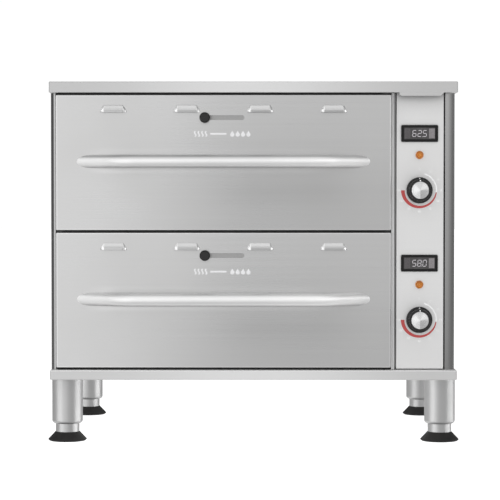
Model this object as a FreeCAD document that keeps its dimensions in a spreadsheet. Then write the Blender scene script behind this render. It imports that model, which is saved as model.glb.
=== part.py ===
import FreeCAD, Part
import math
import os
import Sketcher

V = FreeCAD.Vector
doc = FreeCAD.newDocument("double_warming_drawer")
sheet = doc.addObject("Spreadsheet::Sheet", "dims")


# A length that carries its formula over the spreadsheet and its value.
class Q:
    def __init__(self, text, value):
        self.text = text
        self.value = float(value)

    def __add__(self, o):
        o = q(o)
        return Q("(%s + %s)" % (self.text, o.text), self.value + o.value)

    def __radd__(self, o):
        return q(o) + self

    def __sub__(self, o):
        o = q(o)
        return Q("(%s - %s)" % (self.text, o.text), self.value - o.value)

    def __rsub__(self, o):
        return q(o) - self

    def __mul__(self, o):
        o = q(o)
        return Q("(%s * %s)" % (self.text, o.text), self.value * o.value)

    def __rmul__(self, o):
        return q(o) * self

    def __truediv__(self, o):
        o = q(o)
        return Q("(%s / %s)" % (self.text, o.text), self.value / o.value)

    def __neg__(self):
        return Q("(0 - %s)" % self.text, -self.value)


def q(x):
    if isinstance(x, Q):
        return x
    x = float(x)
    return Q("(%r)" % x if x < 0 else "%r" % x, x)


rows = [0]


def dim(alias, value):
    rows[0] += 1
    n = rows[0]
    sheet.set("A%d" % n, alias)
    sheet.set("B%d" % n, "%r" % float(value))
    sheet.setAlias("B%d" % n, alias)
    return Q("dims." + alias, value)


# ---------------------------------------------------------------- dimensions
# Outer shell
top_w = dim("top_width", 749.3)
shell_d = dim("shell_depth", 570.0)
top_h = dim("top_band", 20.0)
base_w = dim("base_width", 748.0)
base_h = dim("base_band", 18.0)
leg_z = dim("leg_height", 118.0)
body_h = dim("body_height", 509.5)
body_w = dim("body_width", 743.0)
yf = dim("front_edge_y", -268.0)
skin = dim("skin_thick", 1.2)
lin = dim("liner_thick", 1.0)
lip = dim("edge_lip", 14.0)
post_y = dim("post_front_y", -250.0)
back_y = dim("back_panel_y", 281.0)
post_l = dim("left_post_width", 10.3)
post_in = dim("left_post_slope_width", 6.3)
post_run = dim("left_post_slope_depth", 10.0)
left_out = dim("left_side_overhang", 2.4)
post_r = dim("right_post_width", 19.1)
# Drawer fronts
fw = dim("front_width", 615.6)
fh = dim("front_height", 248.5)
fd = dim("front_thick", 26.0)
face = dim("front_face_y", -260.0)
dcx = dim("drawer_centre_x", -54.8)
lower_z = dim("lower_front_z", 140.0)
upper_z = dim("upper_front_z", 393.0)
# Bay
cav = dim("bay_half_width", 289.2)
bay_y = dim("bay_front_y", -230.0)
bay_b = dim("bay_back_y", 250.0)
ceil_z = dim("bay_ceiling_z", 636.0)
mid_hi = dim("mid_deck_top_z", 400.0)
mid_lo = dim("mid_deck_bottom_z", 381.0)
floor_z = dim("bay_floor_z", 146.0)
# Louvres, slot, handle
lv_pitch = dim("louvre_pitch", 134.8)
lv_len = dim("louvre_length", 48.6)
lv_top = dim("louvre_top_z", 230.3)
lv_hi = dim("louvre_height", 13.6)
lv_out = dim("louvre_proud", 6.0)
lv_back = dim("louvre_end_axis_setback", 2.0)
slot_z = dim("slot_z", 206.6)
slot_w = dim("slot_width", 8.3)
slot_c = dim("slot_half_centres", 34.1)
hd_r = dim("handle_radius", 11.85)
hd_out = dim("handle_standoff", 30.15)
hd_z = dim("handle_z", 126.25)
hd_half = dim("handle_half_length", 269.5)
hd_foot = dim("handle_foot_x", 244.0)
hd_bend = dim("handle_bend_radius", 90.0)
# Controls
ctl_x = dim("control_x", 305.6)
pan_l = dim("panel_left_x", 263.1)
pan_r = dim("panel_right_x", 350.0)
pan_y = dim("panel_front_y", -252.0)
pan_z = dim("panel_bottom_z", 138.0)
knob_hi = dim("upper_knob_z", 466.4)
knob_lo = dim("lower_knob_z", 228.0)
lamp_up = dim("lamp_above_knob", 65.0)
disp_up = dim("display_above_knob", 104.4)
knob_r = dim("knob_radius", 24.0)
cap_r = dim("cap_radius", 15.8)
disp_w = dim("display_width", 67.6)
disp_h = dim("display_height", 30.9)
# Legs
leg_x = dim("leg_x", 347.3)
leg_yf = dim("leg_front_y", -208.0)
leg_yb = dim("leg_back_y", 242.0)
leg_r = dim("leg_radius", 28.5)
leg_bot = dim("leg_bottom_z", 32.5)
stem_r = dim("stem_radius", 21.9)
pad_r = dim("pad_radius", 36.4)
pad_h = dim("pad_height", 17.2)
# Drawer inside
sl_z = dim("slide_centre_z", 110.0)
sl_l = dim("slide_length", 450.0)
sl_y = dim("slide_front_y", -224.0)
fr_lo = dim("frame_bottom_z", 70.0)
fr_hi = dim("frame_top_z", 190.0)
fr_b = dim("frame_back_y", 240.0)
fr_t = dim("frame_thick", 1.5)
pan_wx = dim("pan_half_width", 258.0)
pan_yf = dim("pan_front_wall_y", -215.0)
pan_yb = dim("pan_back_wall_y", 222.0)
pan_deep = dim("pan_depth", 145.0)
pan_t = dim("pan_thick", 1.2)
el_r = dim("element_radius", 4.0)
el_z = dim("element_above_deck", 12.0)
el_turn = dim("element_turn", 50.0)
gl_x = dim("gland_x", 310.0)
gl_z = dim("gland_z", 190.0)
gl_r = dim("gland_bore_radius", 5.5)
doc.recompute()

z0 = leg_z + base_h
z1 = z0 + body_h
yb = yf + shell_d
SUBPARTS = []


# ------------------------------------------------------------------- helpers
def is_bound(v):
    return "dims." in v.text


def place(o, x=0, y=0, z=0, axis=None, angle=0):
    x, y, z = q(x), q(y), q(z)
    rot = FreeCAD.Rotation(axis, angle) if axis else FreeCAD.Rotation()
    o.Placement = FreeCAD.Placement(V(x.value, y.value, z.value), rot)
    for k, v in (("x", x), ("y", y), ("z", z)):
        if is_bound(v):
            o.setExpression("Placement.Base." + k, v.text)


def put(o, prop, v):
    v = q(v)
    setattr(o, prop, v.value)
    if is_bound(v):
        o.setExpression(prop, v.text)


def body(name, sub=True):
    b = doc.addObject("PartDesign::Body", name)
    b.Label = name
    if sub:
        SUBPARTS.append(b)
    return b


def sketch(b, role, off=0):
    sk = b.newObject("Sketcher::SketchObject", b.Name + "_sketch")
    pl = [o for o in b.Origin.OriginFeatures if o.Role == role][0]
    sk.AttachmentSupport = (pl, [""])
    sk.MapMode = "FlatFace"
    off = q(off)
    sk.AttachmentOffset = FreeCAD.Placement(V(0, 0, off.value), FreeCAD.Rotation())
    if is_bound(off):
        sk.setExpression("AttachmentOffset.Base.z", off.text)
    return sk


def fix(sk, kind, geo, pos, v):
    if kind in ("DistanceX", "DistanceY") and not is_bound(v) and abs(v.value) < 1e-9:
        sk.addConstraint(Sketcher.Constraint("PointOnObject", geo, pos, -2 if kind == "DistanceX" else -1))
        return
    if kind == "Radius":
        n = sk.addConstraint(Sketcher.Constraint("Radius", geo, v.value))
    else:
        n = sk.addConstraint(Sketcher.Constraint(kind, -1, 1, geo, pos, v.value))
    if is_bound(v):
        tag = "c%d" % n
        sk.renameConstraint(n, tag)
        sk.setExpression("Constraints." + tag, v.text)


def poly(sk, pts):
    pts = [(q(a), q(c)) for a, c in pts]
    n = len(pts)
    g0 = sk.GeometryCount
    for i in range(n):
        a, c = pts[i], pts[(i + 1) % n]
        sk.addGeometry(Part.LineSegment(V(a[0].value, a[1].value, 0), V(c[0].value, c[1].value, 0)), False)
    for i in range(n):
        sk.addConstraint(Sketcher.Constraint("Coincident", g0 + i, 2, g0 + (i + 1) % n, 1))
    for i in range(n):
        fix(sk, "DistanceX", g0 + i, 1, pts[i][0])
        fix(sk, "DistanceY", g0 + i, 1, pts[i][1])
    return sk


def rect(sk, xa, ya, xb, yb_):
    return poly(sk, [(xa, ya), (xb, ya), (xb, yb_), (xa, yb_)])


def circ(sk, x, y, r):
    x, y, r = q(x), q(y), q(r)
    g = sk.addGeometry(Part.Circle(V(x.value, y.value, 0), V(0, 0, 1), r.value), False)
    fix(sk, "DistanceX", g, 3, x)
    fix(sk, "DistanceY", g, 3, y)
    fix(sk, "Radius", g, 0, r)
    return sk


def stadium(sk, cx, cy, half, r):
    cx, cy, half, r = q(cx), q(cy), q(half), q(r)
    xa, xb, yy, rr = (cx - half), (cx + half), cy, r
    h = math.pi / 2
    a = sk.addGeometry(Part.ArcOfCircle(Part.Circle(V(xa.value, yy.value, 0), V(0, 0, 1), rr.value), h, 3 * h), False)
    c = sk.addGeometry(Part.ArcOfCircle(Part.Circle(V(xb.value, yy.value, 0), V(0, 0, 1), rr.value), -h, h), False)
    lo = sk.addGeometry(Part.LineSegment(V(xa.value, yy.value - rr.value, 0), V(xb.value, yy.value - rr.value, 0)), False)
    hi = sk.addGeometry(Part.LineSegment(V(xb.value, yy.value + rr.value, 0), V(xa.value, yy.value + rr.value, 0)), False)
    for g1, p1, g2, p2 in ((a, 2, lo, 1), (lo, 2, c, 1), (c, 2, hi, 1), (hi, 2, a, 1)):
        sk.addConstraint(Sketcher.Constraint("Coincident", g1, p1, g2, p2))
    for g in (a, c):
        sk.addConstraint(Sketcher.Constraint("Vertical", g, 1, g, 3))
        sk.addConstraint(Sketcher.Constraint("Vertical", g, 2, g, 3))
    for g, x in ((a, xa), (c, xb)):
        fix(sk, "DistanceX", g, 3, x)
        fix(sk, "DistanceY", g, 3, yy)
    fix(sk, "Radius", a, 0, rr)
    sk.addConstraint(Sketcher.Constraint("Equal", a, c))
    return sk


def feature(b, kind, sk, length=None, rev=False, mid=False):
    f = b.newObject("PartDesign::" + kind, b.Name + "_" + kind)
    f.Profile = sk
    if length is not None:
        put(f, "Length", length)
    f.Reversed = rev
    if mid:
        f.SideType = "Symmetric"
    b.Tip = f
    return f


def pad(b, sk, length, rev=False, mid=False):
    return feature(b, "Pad", sk, length, rev, mid)


def pocket(b, sk, length, rev=False, mid=False):
    return feature(b, "Pocket", sk, length, rev, mid)


def turn(b, sk, axis="V_Axis", kind="Revolution", angle=360.0, rev=False):
    f = b.newObject("PartDesign::" + kind, b.Name + "_" + kind)
    f.Profile = sk
    f.ReferenceAxis = (sk, [axis])
    f.Angle = angle
    f.Reversed = rev
    b.Tip = f
    return f


def pick(b, test):
    doc.recompute()
    out = []
    for i, e in enumerate(b.Tip.Shape.Edges):
        if test(e):
            out.append("Edge%d" % (i + 1))
    return out


def fillet(b, test, r, kind="Fillet"):
    names = pick(b, test)
    if not names:
        raise RuntimeError("no edge to round on " + b.Name)
    base = b.Tip
    f = b.newObject("PartDesign::" + kind, b.Name + "_" + kind)
    f.Base = (base, names)
    put(f, "Radius" if kind == "Fillet" else "Size", r)
    b.Tip = f
    return f


def upright(x, y, tol=0.05):
    x, y = q(x).value, q(y).value

    def test(e):
        bb = e.BoundBox
        return (abs(bb.XMin - x) < tol and abs(bb.XMax - x) < tol and abs(bb.YMin - y) < tol
                and abs(bb.YMax - y) < tol and bb.ZLength > 1)
    return test


def ring_at(axis, at, r, tol=0.05):
    at, r = q(at).value, q(r).value

    def test(e):
        if not isinstance(e.Curve, Part.Circle):
            return False
        c = e.Curve.Center
        return abs(getattr(c, axis) - at) < tol and abs(e.Curve.Radius - r) < tol
    return test


def straight(e):
    return isinstance(e.Curve, Part.Line)


def group(name, items):
    c = doc.addObject("Part::Compound", name)
    c.Label = name
    c.Links = items
    SUBPARTS.append(c)
    return c


def slab(name, xa, xb, ya, yb_, za, zb):
    xa, xb, ya, yb_, za, zb = [q(v) for v in (xa, xb, ya, yb_, za, zb)]
    o = doc.addObject("Part::Box", name)
    put(o, "Length", xb - xa)
    put(o, "Width", yb_ - ya)
    put(o, "Height", zb - za)
    place(o, xa, ya, za)
    return o


def rod(name, x, y, z, r, length, axis):
    o = doc.addObject("Part::Cylinder", name)
    put(o, "Radius", r)
    put(o, "Height", length)
    if axis == "x":
        place(o, x, y, z, V(0, 1, 0), 90)
    elif axis == "y":
        place(o, x, y, z, V(1, 0, 0), -90)
    else:
        place(o, x, y, z)
    return o


def cut(name, base, tools, sub=False):
    if len(tools) > 1:
        t = doc.addObject("Part::MultiFuse", name + "_tools")
        t.Shapes = tools
    else:
        t = tools[0]
    c = doc.addObject("Part::Cut", name)
    c.Base = base
    c.Tool = t
    c.Label = name
    if sub:
        SUBPARTS.append(c)
    return c


LEGS = [("front_left", -leg_x, leg_yf), ("front_right", leg_x, leg_yf),
        ("rear_left", -leg_x, leg_yb), ("rear_right", leg_x, leg_yb)]
DRAWERS = [("upper", upper_z, mid_hi, knob_hi), ("lower", lower_z, floor_z, knob_lo)]
xl = dcx - cav
xr = dcx + cav
half_b = body_w / 2
wall_t = skin
el_y = el_turn * 3
SCREW_Z = [180.0, 320.0, 460.0, 600.0]

# ------------------------------------------------------------------ top panel
b = body("top_panel")
pad(b, rect(sketch(b, "XY_Plane", z1), -(top_w / 2), yf, top_w / 2, yb), top_h)
fillet(b, lambda e: straight(e) and e.BoundBox.ZLength > 10, 3.0)
fillet(b, lambda e: e.BoundBox.ZMin > (z1 + top_h).value - 0.05, 2.0)
fillet(b, lambda e: e.BoundBox.ZMax < z1.value + 0.05, 0.8)
pocket(b, rect(sketch(b, "XY_Plane", z1), lip - top_w / 2, yf + lip, top_w / 2 - lip, yb - lip), skin, rev=True)
pocket(b, rect(sketch(b, "XY_Plane", z1 + skin), skin - top_w / 2, yf + skin, top_w / 2 - skin, yb - skin),
       top_h - 2 * skin, rev=True)
pad(b, poly(sketch(b, "XZ_Plane", -(yf + 1.6)),
            [(pan_l + 4.5, z1 + 2), (pan_l + 4.5, z1 - 3.5), (pan_l + 8, z1 - 6.2), (pan_r - 7.5, z1 - 6.2),
             (pan_r - 1.5, z1 - 1.0), (pan_r - 1.5, z1 + 2)]), skin)

# ----------------------------------------------------------------- base panel
b = body("base_panel")
pad(b, rect(sketch(b, "XY_Plane", leg_z), -(base_w / 2), yf, base_w / 2, yb), base_h)
fillet(b, lambda e: straight(e) and e.BoundBox.ZLength > 10, 3.0)
fillet(b, lambda e: e.BoundBox.ZMin > z0.value - 0.05, 1.6)
fillet(b, lambda e: e.BoundBox.ZMax < leg_z.value + 0.05, 1.6)
pocket(b, rect(sketch(b, "XY_Plane", z0), lip - base_w / 2, yf + lip + 6, base_w / 2 - lip, yb - lip), skin)
pocket(b, rect(sketch(b, "XY_Plane", z0 - skin), skin - base_w / 2, yf + skin, base_w / 2 - skin, yb - skin),
       base_h - 2 * skin)
sk = sketch(b, "XY_Plane", leg_z - 1)
for _, x, y in LEGS:
    circ(sk, x, y, 6.3)
pocket(b, sk, 4.0, rev=True)

# ---------------------------------------------------------------- side panels
b = body("left_side_panel")
xo = -half_b - left_out
poly_l = [(xo, post_y + post_run), (xo + post_in, post_y), (xo + post_l, post_y), (xo + post_l, post_y + 19),
          (xo + post_l - skin, post_y + 19), (xo + post_l - skin, post_y + skin), (xo + post_in + 0.8, post_y + skin),
          (xo + skin, post_y + post_run + 0.25), (xo + skin, back_y - skin),
          (xo + 18, back_y - skin), (xo + 18, back_y), (xo, back_y)]
pad(b, poly(sketch(b, "XY_Plane", z0), poly_l), body_h)
# The front corner slopes back in a soft bend.
fillet(b, upright(xo + skin, post_y + post_run + 0.25), 12.8)
fillet(b, upright(xo, post_y + post_run), 14.0)
fillet(b, upright(xo + post_in, post_y), 2.0)
fillet(b, upright(xo + post_l, post_y), 1.1)
fillet(b, upright(xo, back_y), 1.1)
sk = sketch(b, "XZ_Plane", -(back_y - 3))
for z in SCREW_Z:
    circ(sk, 9.5 - half_b, z, 2.1)
pocket(b, sk, 5.0)

b = body("right_side_panel")
xo = half_b
poly_r = [(xo, post_y), (xo, back_y), (xo - 18, back_y), (xo - 18, back_y - skin), (xo - skin, back_y - skin),
          (xo - skin, post_y + skin), (xo - post_r + skin, post_y + skin), (xo - post_r + skin, post_y + 19),
          (xo - post_r, post_y + 19), (xo - post_r, post_y)]
pad(b, poly(sketch(b, "XY_Plane", z0), poly_r), body_h)
fillet(b, upright(xo - skin, post_y + skin), 14.8)
fillet(b, upright(xo, post_y), 16.0)
fillet(b, upright(xo - post_r, post_y), 1.1)
fillet(b, upright(xo, back_y), 1.1)
sk = sketch(b, "XZ_Plane", -(back_y - 3))
for z in SCREW_Z:
    circ(sk, xo - 9.5, z, 2.1)
pocket(b, sk, 5.0)
sk = sketch(b, "YZ_Plane", half_b - 4)
stadium(sk, 210.0, 540.0, 27.0, 2.6)
p = pocket(b, sk, 8.0, rev=True)
lp = b.newObject("PartDesign::LinearPattern", "side_vents")
lp.Originals = [p]
lp.Direction = (sk, ["V_Axis"])
lp.Length = 60.0
lp.Occurrences = 6
b.Tip = lp

# ----------------------------------------------------------------- back panel
b = body("back_panel")
pad(b, rect(sketch(b, "XZ_Plane", -back_y), 2.5 - half_b, z0 + 0.6, half_b - 2.5, z1 - 0.6), skin, rev=True)
fillet(b, lambda e: straight(e) and e.BoundBox.YLength > 1.0, 4.0)
sk = sketch(b, "XZ_Plane", -(back_y - 3))
for z in SCREW_Z:
    circ(sk, 9.5 - half_b, z, 2.1)
    circ(sk, half_b - 9.5, z, 2.1)
circ(sk, gl_x, gl_z, 12.15)
pocket(b, sk, 8.0)
sk = sketch(b, "XZ_Plane", -(back_y - 3))
stadium(sk, ctl_x, 520.0, 24.0, 2.6)
p = pocket(b, sk, 8.0)
lp = b.newObject("PartDesign::LinearPattern", "back_vents")
lp.Originals = [p]
lp.Direction = (sk, ["V_Axis"])
lp.Length = 84.0
lp.Occurrences = 8
b.Tip = lp

# ------------------------------------------------------------ control divider
b = body("control_divider")
dx = xr + 22.6
pad(b, poly(sketch(b, "XY_Plane", z0 + 0.3),
            [(dx, pan_y), (dx + 2.2, pan_y), (dx + 2.2, pan_y + 14.0), (dx + 5.8, pan_y + 14.0), (dx + 5.8, pan_y + 15.2),
             (dx + skin, pan_y + 15.2), (dx + skin, back_y - 1.6), (dx + 15, back_y - 1.6), (dx + 15, back_y - 0.4), (dx, back_y - 0.4),
             (dx, pan_y + 5.2), (dx - 2.6, pan_y + 5.2), (dx - 2.6, pan_y + 4.0), (dx, pan_y + 4.0)]),
    body_h - 0.6)
fillet(b, lambda e: straight(e) and e.BoundBox.ZLength > 100 and abs(e.BoundBox.YMin - pan_y.value) < 0.05, 0.8)
sk = sketch(b, "YZ_Plane", dx - 2)
for _, dz, deck, kz in DRAWERS:
    circ(sk, -el_y, deck + el_z, 6.0)
    circ(sk, el_y, deck + el_z, 6.0)
    circ(sk, -180.0, kz - 15, 2.6)
pocket(b, sk, 6.0, rev=True)

# ------------------------------------------------------------------ bay liners
b = body("left_liner", sub=False)
pad(b, poly(sketch(b, "XY_Plane", z0),
            [(xl, bay_y), (xl, bay_b), (xl - lin, bay_b), (xl - lin, bay_y + lin), (xl - 25.8, bay_y + lin),
             (xl - 25.8, bay_y)]), body_h)
left_liner = b
b = body("right_liner", sub=False)
pad(b, poly(sketch(b, "XY_Plane", z0),
            [(xr, bay_y), (xr + 22.3, bay_y), (xr + 22.3, bay_y + lin), (xr + lin, bay_y + lin), (xr + lin, bay_b),
             (xr, bay_b)]), body_h)
sk = sketch(b, "YZ_Plane", xr - 2)
for _, dz, deck, kz in DRAWERS:
    circ(sk, -el_y, deck + el_z, 6.0)
    circ(sk, el_y, deck + el_z, 6.0)
    circ(sk, -180.0, kz - 15, 2.6)
pocket(b, sk, 5.0, rev=True)
right_liner = b
group("side_liners", [left_liner, right_liner])

b = body("back_liner")
pad(b, rect(sketch(b, "XZ_Plane", -bay_b), xl - lin, z0, xr + lin, z1), lin, rev=True)

b = body("ceiling_liner")
pad(b, poly(sketch(b, "YZ_Plane", xl),
            [(bay_y, ceil_z), (bay_b, ceil_z), (bay_b, ceil_z + lin), (bay_y + lin, ceil_z + lin), (bay_y + lin, z1),
             (bay_y, z1)]), 2 * cav)

REST = [(-200.0, -1), (-200.0, 1), (100.0, -1), (100.0, 1)]


def rests(b, deck):
    sk = sketch(b, "XY_Plane", deck)
    for x, s in REST:
        for k in (1, 3):
            y = s * (el_turn * k)
            rect(sk, x - 5, y - 5, q(x + 5), y + 5)
    pad(b, sk, el_z - el_r)


b = body("upper_heat_deck")
pad(b, poly(sketch(b, "YZ_Plane", xl),
            [(bay_y, mid_lo), (bay_b, mid_lo), (bay_b, mid_lo + lin), (bay_y + lin, mid_lo + lin),
             (bay_y + lin, mid_hi - lin), (bay_b, mid_hi - lin), (bay_b, mid_hi), (bay_y, mid_hi)]), 2 * cav)
rests(b, mid_hi)
b = body("lower_heat_deck")
pad(b, poly(sketch(b, "YZ_Plane", xl),
            [(bay_y, z0), (bay_y + lin, z0), (bay_y + lin, floor_z - lin), (bay_b, floor_z - lin), (bay_b, floor_z),
             (bay_y, floor_z)]), 2 * cav)
rests(b, floor_z)

# ------------------------------------------------------------------ insulation
ins = [slab("wool_left", xl - 25.6, xl - lin - 0.3, bay_y + lin + 0.3, bay_b, z0 + 1, z1 - 1)]
raw = slab("wool_right_raw", xr + lin + 0.3, xr + 22.3, bay_y + lin + 0.3, bay_b, z0 + 1, z1 - 1)
tools = []
for nm, dz, deck, kz in DRAWERS:
    tools.append(rod("wool_hole_a_" + nm, xr - 2, -el_y, deck + el_z, 6.0, 30.0, "x"))
    tools.append(rod("wool_hole_b_" + nm, xr - 2, el_y, deck + el_z, 6.0, 30.0, "x"))
    tools.append(rod("wool_hole_c_" + nm, xr - 2, -180.0, kz - 15, 2.6, 30.0, "x"))
ins.append(cut("wool_right", raw, tools))
ins.append(slab("wool_back", xl, xr, bay_b + lin + 0.3, back_y - 2.5, z0 + 1, z1 - 1))
ins.append(slab("wool_top", xl + 0.5, xr - 0.5, bay_y + lin + 1.5, bay_b - 0.5, ceil_z + lin + 0.3, z1 + top_h - skin - 0.3))
ins.append(slab("wool_mid", xl + 0.5, xr - 0.5, bay_y + lin + 0.5, bay_b - 0.5, mid_lo + lin + 0.3, mid_hi - lin - 0.3))
ins.append(slab("wool_floor", xl + 12, xr - 0.5, bay_y + lin + 0.5, bay_b - 0.5, leg_z + skin + 0.3, floor_z - lin - 0.3))
group("insulation_slabs", ins)

# ------------------------------------------------------------ heating elements
for nm, dz, deck, kz in DRAWERS:
    b = body(nm + "_heating_element")
    sk = sketch(b, "XY_Plane", deck + el_z)
    xs = [dx + 9, q(-270.0), q(170.0)]
    R = el_turn
    ys = [-3 * R, -R, R, 3 * R]
    segs = [("l", xs[0], ys[0], xs[1], ys[0]), ("a", xs[1], (ys[0] + ys[1]) / 2, 90, 270, -1),
            ("l", xs[1], ys[1], xs[2], ys[1]), ("a", xs[2], q(0.0), -90, 90, 1),
            ("l", xs[2], ys[2], xs[1], ys[2]), ("a", xs[1], (ys[2] + ys[3]) / 2, 90, 270, -1),
            ("l", xs[1], ys[3], xs[0], ys[3])]
    geo = []
    for s in segs:
        if s[0] == "l":
            geo.append(sk.addGeometry(Part.LineSegment(V(s[1].value, s[2].value, 0), V(s[3].value, s[4].value, 0)), False))
        else:
            geo.append(sk.addGeometry(Part.ArcOfCircle(Part.Circle(V(s[1].value, s[2].value, 0), V(0, 0, 1), R.value),
                                                       math.radians(s[3]), math.radians(s[4])), False))
    # Arc ends: a left turn runs from its upper to its lower end, a right turn the other way.
    joins = [(0, 2, 1, 2), (1, 1, 2, 1), (2, 2, 3, 1), (3, 2, 4, 1), (4, 2, 5, 2), (5, 1, 6, 1)]
    for a, pa, c, pc in joins:
        sk.addConstraint(Sketcher.Constraint("Coincident", geo[a], pa, geo[c], pc))
    for i in (0, 2, 4, 6):
        s = segs[i]
        fix(sk, "DistanceX", geo[i], 1, s[1])
        fix(sk, "DistanceY", geo[i], 1, s[2])
        fix(sk, "DistanceX", geo[i], 2, s[3])
        fix(sk, "DistanceY", geo[i], 2, s[4])
    for i in (1, 3, 5):
        fix(sk, "DistanceX", geo[i], 3, segs[i][1])
    path = sk
    prof = sketch(b, "YZ_Plane", dx + 9)
    circ(prof, ys[0], deck + el_z, el_r)
    f = b.newObject("PartDesign::AdditivePipe", nm + "_sheath")
    f.Profile = prof
    f.Spine = path
    b.Tip = f
    sk = sketch(b, "YZ_Plane", dx + 9)
    circ(sk, ys[0], deck + el_z, 2.0)
    circ(sk, ys[3], deck + el_z, 2.0)
    pad(b, sk, 14.0)

# ----------------------------------------------------------------- thermostats
items = []
for nm, dz, deck, kz in DRAWERS:
    b = body(nm + "_thermostat", sub=False)
    inner = pan_y + skin
    pad(b, rect(sketch(b, "XZ_Plane", -inner), ctl_x - 16, kz - 24, ctl_x + 16, kz + 24), 1.5, rev=True)
    pad(b, rect(sketch(b, "XZ_Plane", -(inner + 1.5)), ctl_x - 20, kz - 19, ctl_x + 20, kz + 19), 32.0, rev=True)
    pocket(b, circ(sketch(b, "XZ_Plane", -inner), ctl_x, kz, 3.6), 8.5)
    sk = sketch(b, "XY_Plane", kz - 15)
    ya, yc = inner + 33.0, q(-180.0)
    xe = dcx + cav - 6.4
    g = [sk.addGeometry(Part.LineSegment(V(ctl_x.value, ya.value, 0), V(ctl_x.value, -195, 0)), False),
         sk.addGeometry(Part.ArcOfCircle(Part.Circle(V(ctl_x.value - 15, -195, 0), V(0, 0, 1), 15), 0, math.pi / 2), False),
         sk.addGeometry(Part.LineSegment(V(ctl_x.value - 15, -180, 0), V(xe.value + 8, -180, 0)), False),
         sk.addGeometry(Part.ArcOfCircle(Part.Circle(V(xe.value + 8, -172, 0), V(0, 0, 1), 8), math.pi, 1.5 * math.pi), False)]
    for a, pa, c, pc in ((g[0], 2, g[1], 1), (g[1], 2, g[2], 1), (g[2], 2, g[3], 2)):
        sk.addConstraint(Sketcher.Constraint("Coincident", a, pa, c, pc))
    fix(sk, "DistanceX", g[0], 1, ctl_x)
    fix(sk, "DistanceY", g[0], 1, ya)
    fix(sk, "DistanceX", g[1], 3, ctl_x - 15)
    fix(sk, "DistanceY", g[1], 3, q(-195.0))
    fix(sk, "Radius", g[1], 0, q(15.0))
    fix(sk, "DistanceX", g[3], 3, xe + 8)
    fix(sk, "DistanceY", g[3], 3, q(-172.0))
    fix(sk, "Radius", g[3], 0, q(8.0))
    sk.addConstraint(Sketcher.Constraint("Horizontal", g[1], 1, g[1], 3))
    sk.addConstraint(Sketcher.Constraint("Vertical", g[1], 2, g[1], 3))
    sk.addConstraint(Sketcher.Constraint("Horizontal", g[3], 1, g[3], 3))
    sk.addConstraint(Sketcher.Constraint("Vertical", g[3], 2, g[3], 3))
    prof = sketch(b, "XZ_Plane", -ya)
    circ(prof, ctl_x, kz - 15, 1.0)
    f = b.newObject("PartDesign::AdditivePipe", nm + "_capillary")
    f.Profile = prof
    f.Spine = sk
    b.Tip = f
    pad(b, circ(sketch(b, "XZ_Plane", 172.0), xe, kz - 15, 3.2), 76.0, rev=True)
    items.append(b)
group("thermostats", items)

# ----------------------------------------------- lamps, thermometers, the panel
lamps, housings, windows = [], [], []
for nm, dz, deck, kz in DRAWERS:
    b = body(nm + "_lamp", sub=False)
    turn(b, poly(sketch(b, "XY_Plane"), [(0, pan_y - 5.6), (3.4, pan_y - 5.2), (5.8, pan_y - 3.9), (7.2, pan_y - 1.8),
                                         (7.6, pan_y), (6.1, pan_y), (6.1, pan_y + 24), (0, pan_y + 24)]))
    place(b, ctl_x, 0, kz + lamp_up)
    lamps.append(b)

    b = body(nm + "_thermometer", sub=False)
    pad(b, rect(sketch(b, "XZ_Plane", -pan_y), -(disp_w / 2), -(disp_h / 2), disp_w / 2, disp_h / 2), 2.6)
    fillet(b, lambda e: straight(e) and e.BoundBox.YLength > 2, 2.2)
    fillet(b, lambda e: e.BoundBox.YMax < pan_y.value - 2.5, 0.9)
    pad(b, rect(sketch(b, "XZ_Plane", -pan_y), 3.6 - disp_w / 2, 3.0 - disp_h / 2, disp_w / 2 - 3.6, disp_h / 2 - 3.0),
        26.0, rev=True)
    pocket(b, rect(sketch(b, "XZ_Plane", -(pan_y - 2.6)), 5.0 - disp_w / 2, 4.6 - disp_h / 2, disp_w / 2 - 5.0,
                   disp_h / 2 - 4.6), 1.6)
    place(b, ctl_x, 0, kz + disp_up)
    housings.append(b)

    b = body(nm + "_window", sub=False)
    pad(b, rect(sketch(b, "XZ_Plane", -(pan_y - 1.0)), 5.0 - disp_w / 2, 4.6 - disp_h / 2, disp_w / 2 - 5.0,
                disp_h / 2 - 4.6), 1.2)
    fillet(b, lambda e: e.BoundBox.YMax < pan_y.value - 2.1, 0.3)
    place(b, ctl_x, 0, kz + disp_up)
    windows.append(b)
group("indicator_lamps", lamps)
group("thermometer_housings", housings)
group("thermometer_windows", windows)

b = body("control_panel")
pad(b, poly(sketch(b, "XY_Plane", pan_z),
            [(pan_l, pan_y), (pan_r, pan_y), (pan_r, pan_y + 18), (pan_r - skin, pan_y + 18),
             (pan_r - skin, pan_y + skin), (pan_l + skin, pan_y + skin), (pan_l + skin, pan_y + 18), (pan_l, pan_y + 18)]),
    z1 - pan_z - 0.5)
fillet(b, upright(pan_l, pan_y), 1.1)
fillet(b, upright(pan_r, pan_y), 1.1)
sk = sketch(b, "XZ_Plane", -(pan_y - 1))
for nm, dz, deck, kz in DRAWERS:
    circ(sk, ctl_x, kz, 5.0)
    circ(sk, ctl_x, kz + lamp_up, 6.2)
    zc = kz + disp_up
    rect(sk, ctl_x + 3.4 - disp_w / 2, zc + 2.8 - disp_h / 2, ctl_x + disp_w / 2 - 3.4, zc + disp_h / 2 - 2.8)
pocket(b, sk, 4.0)

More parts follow.
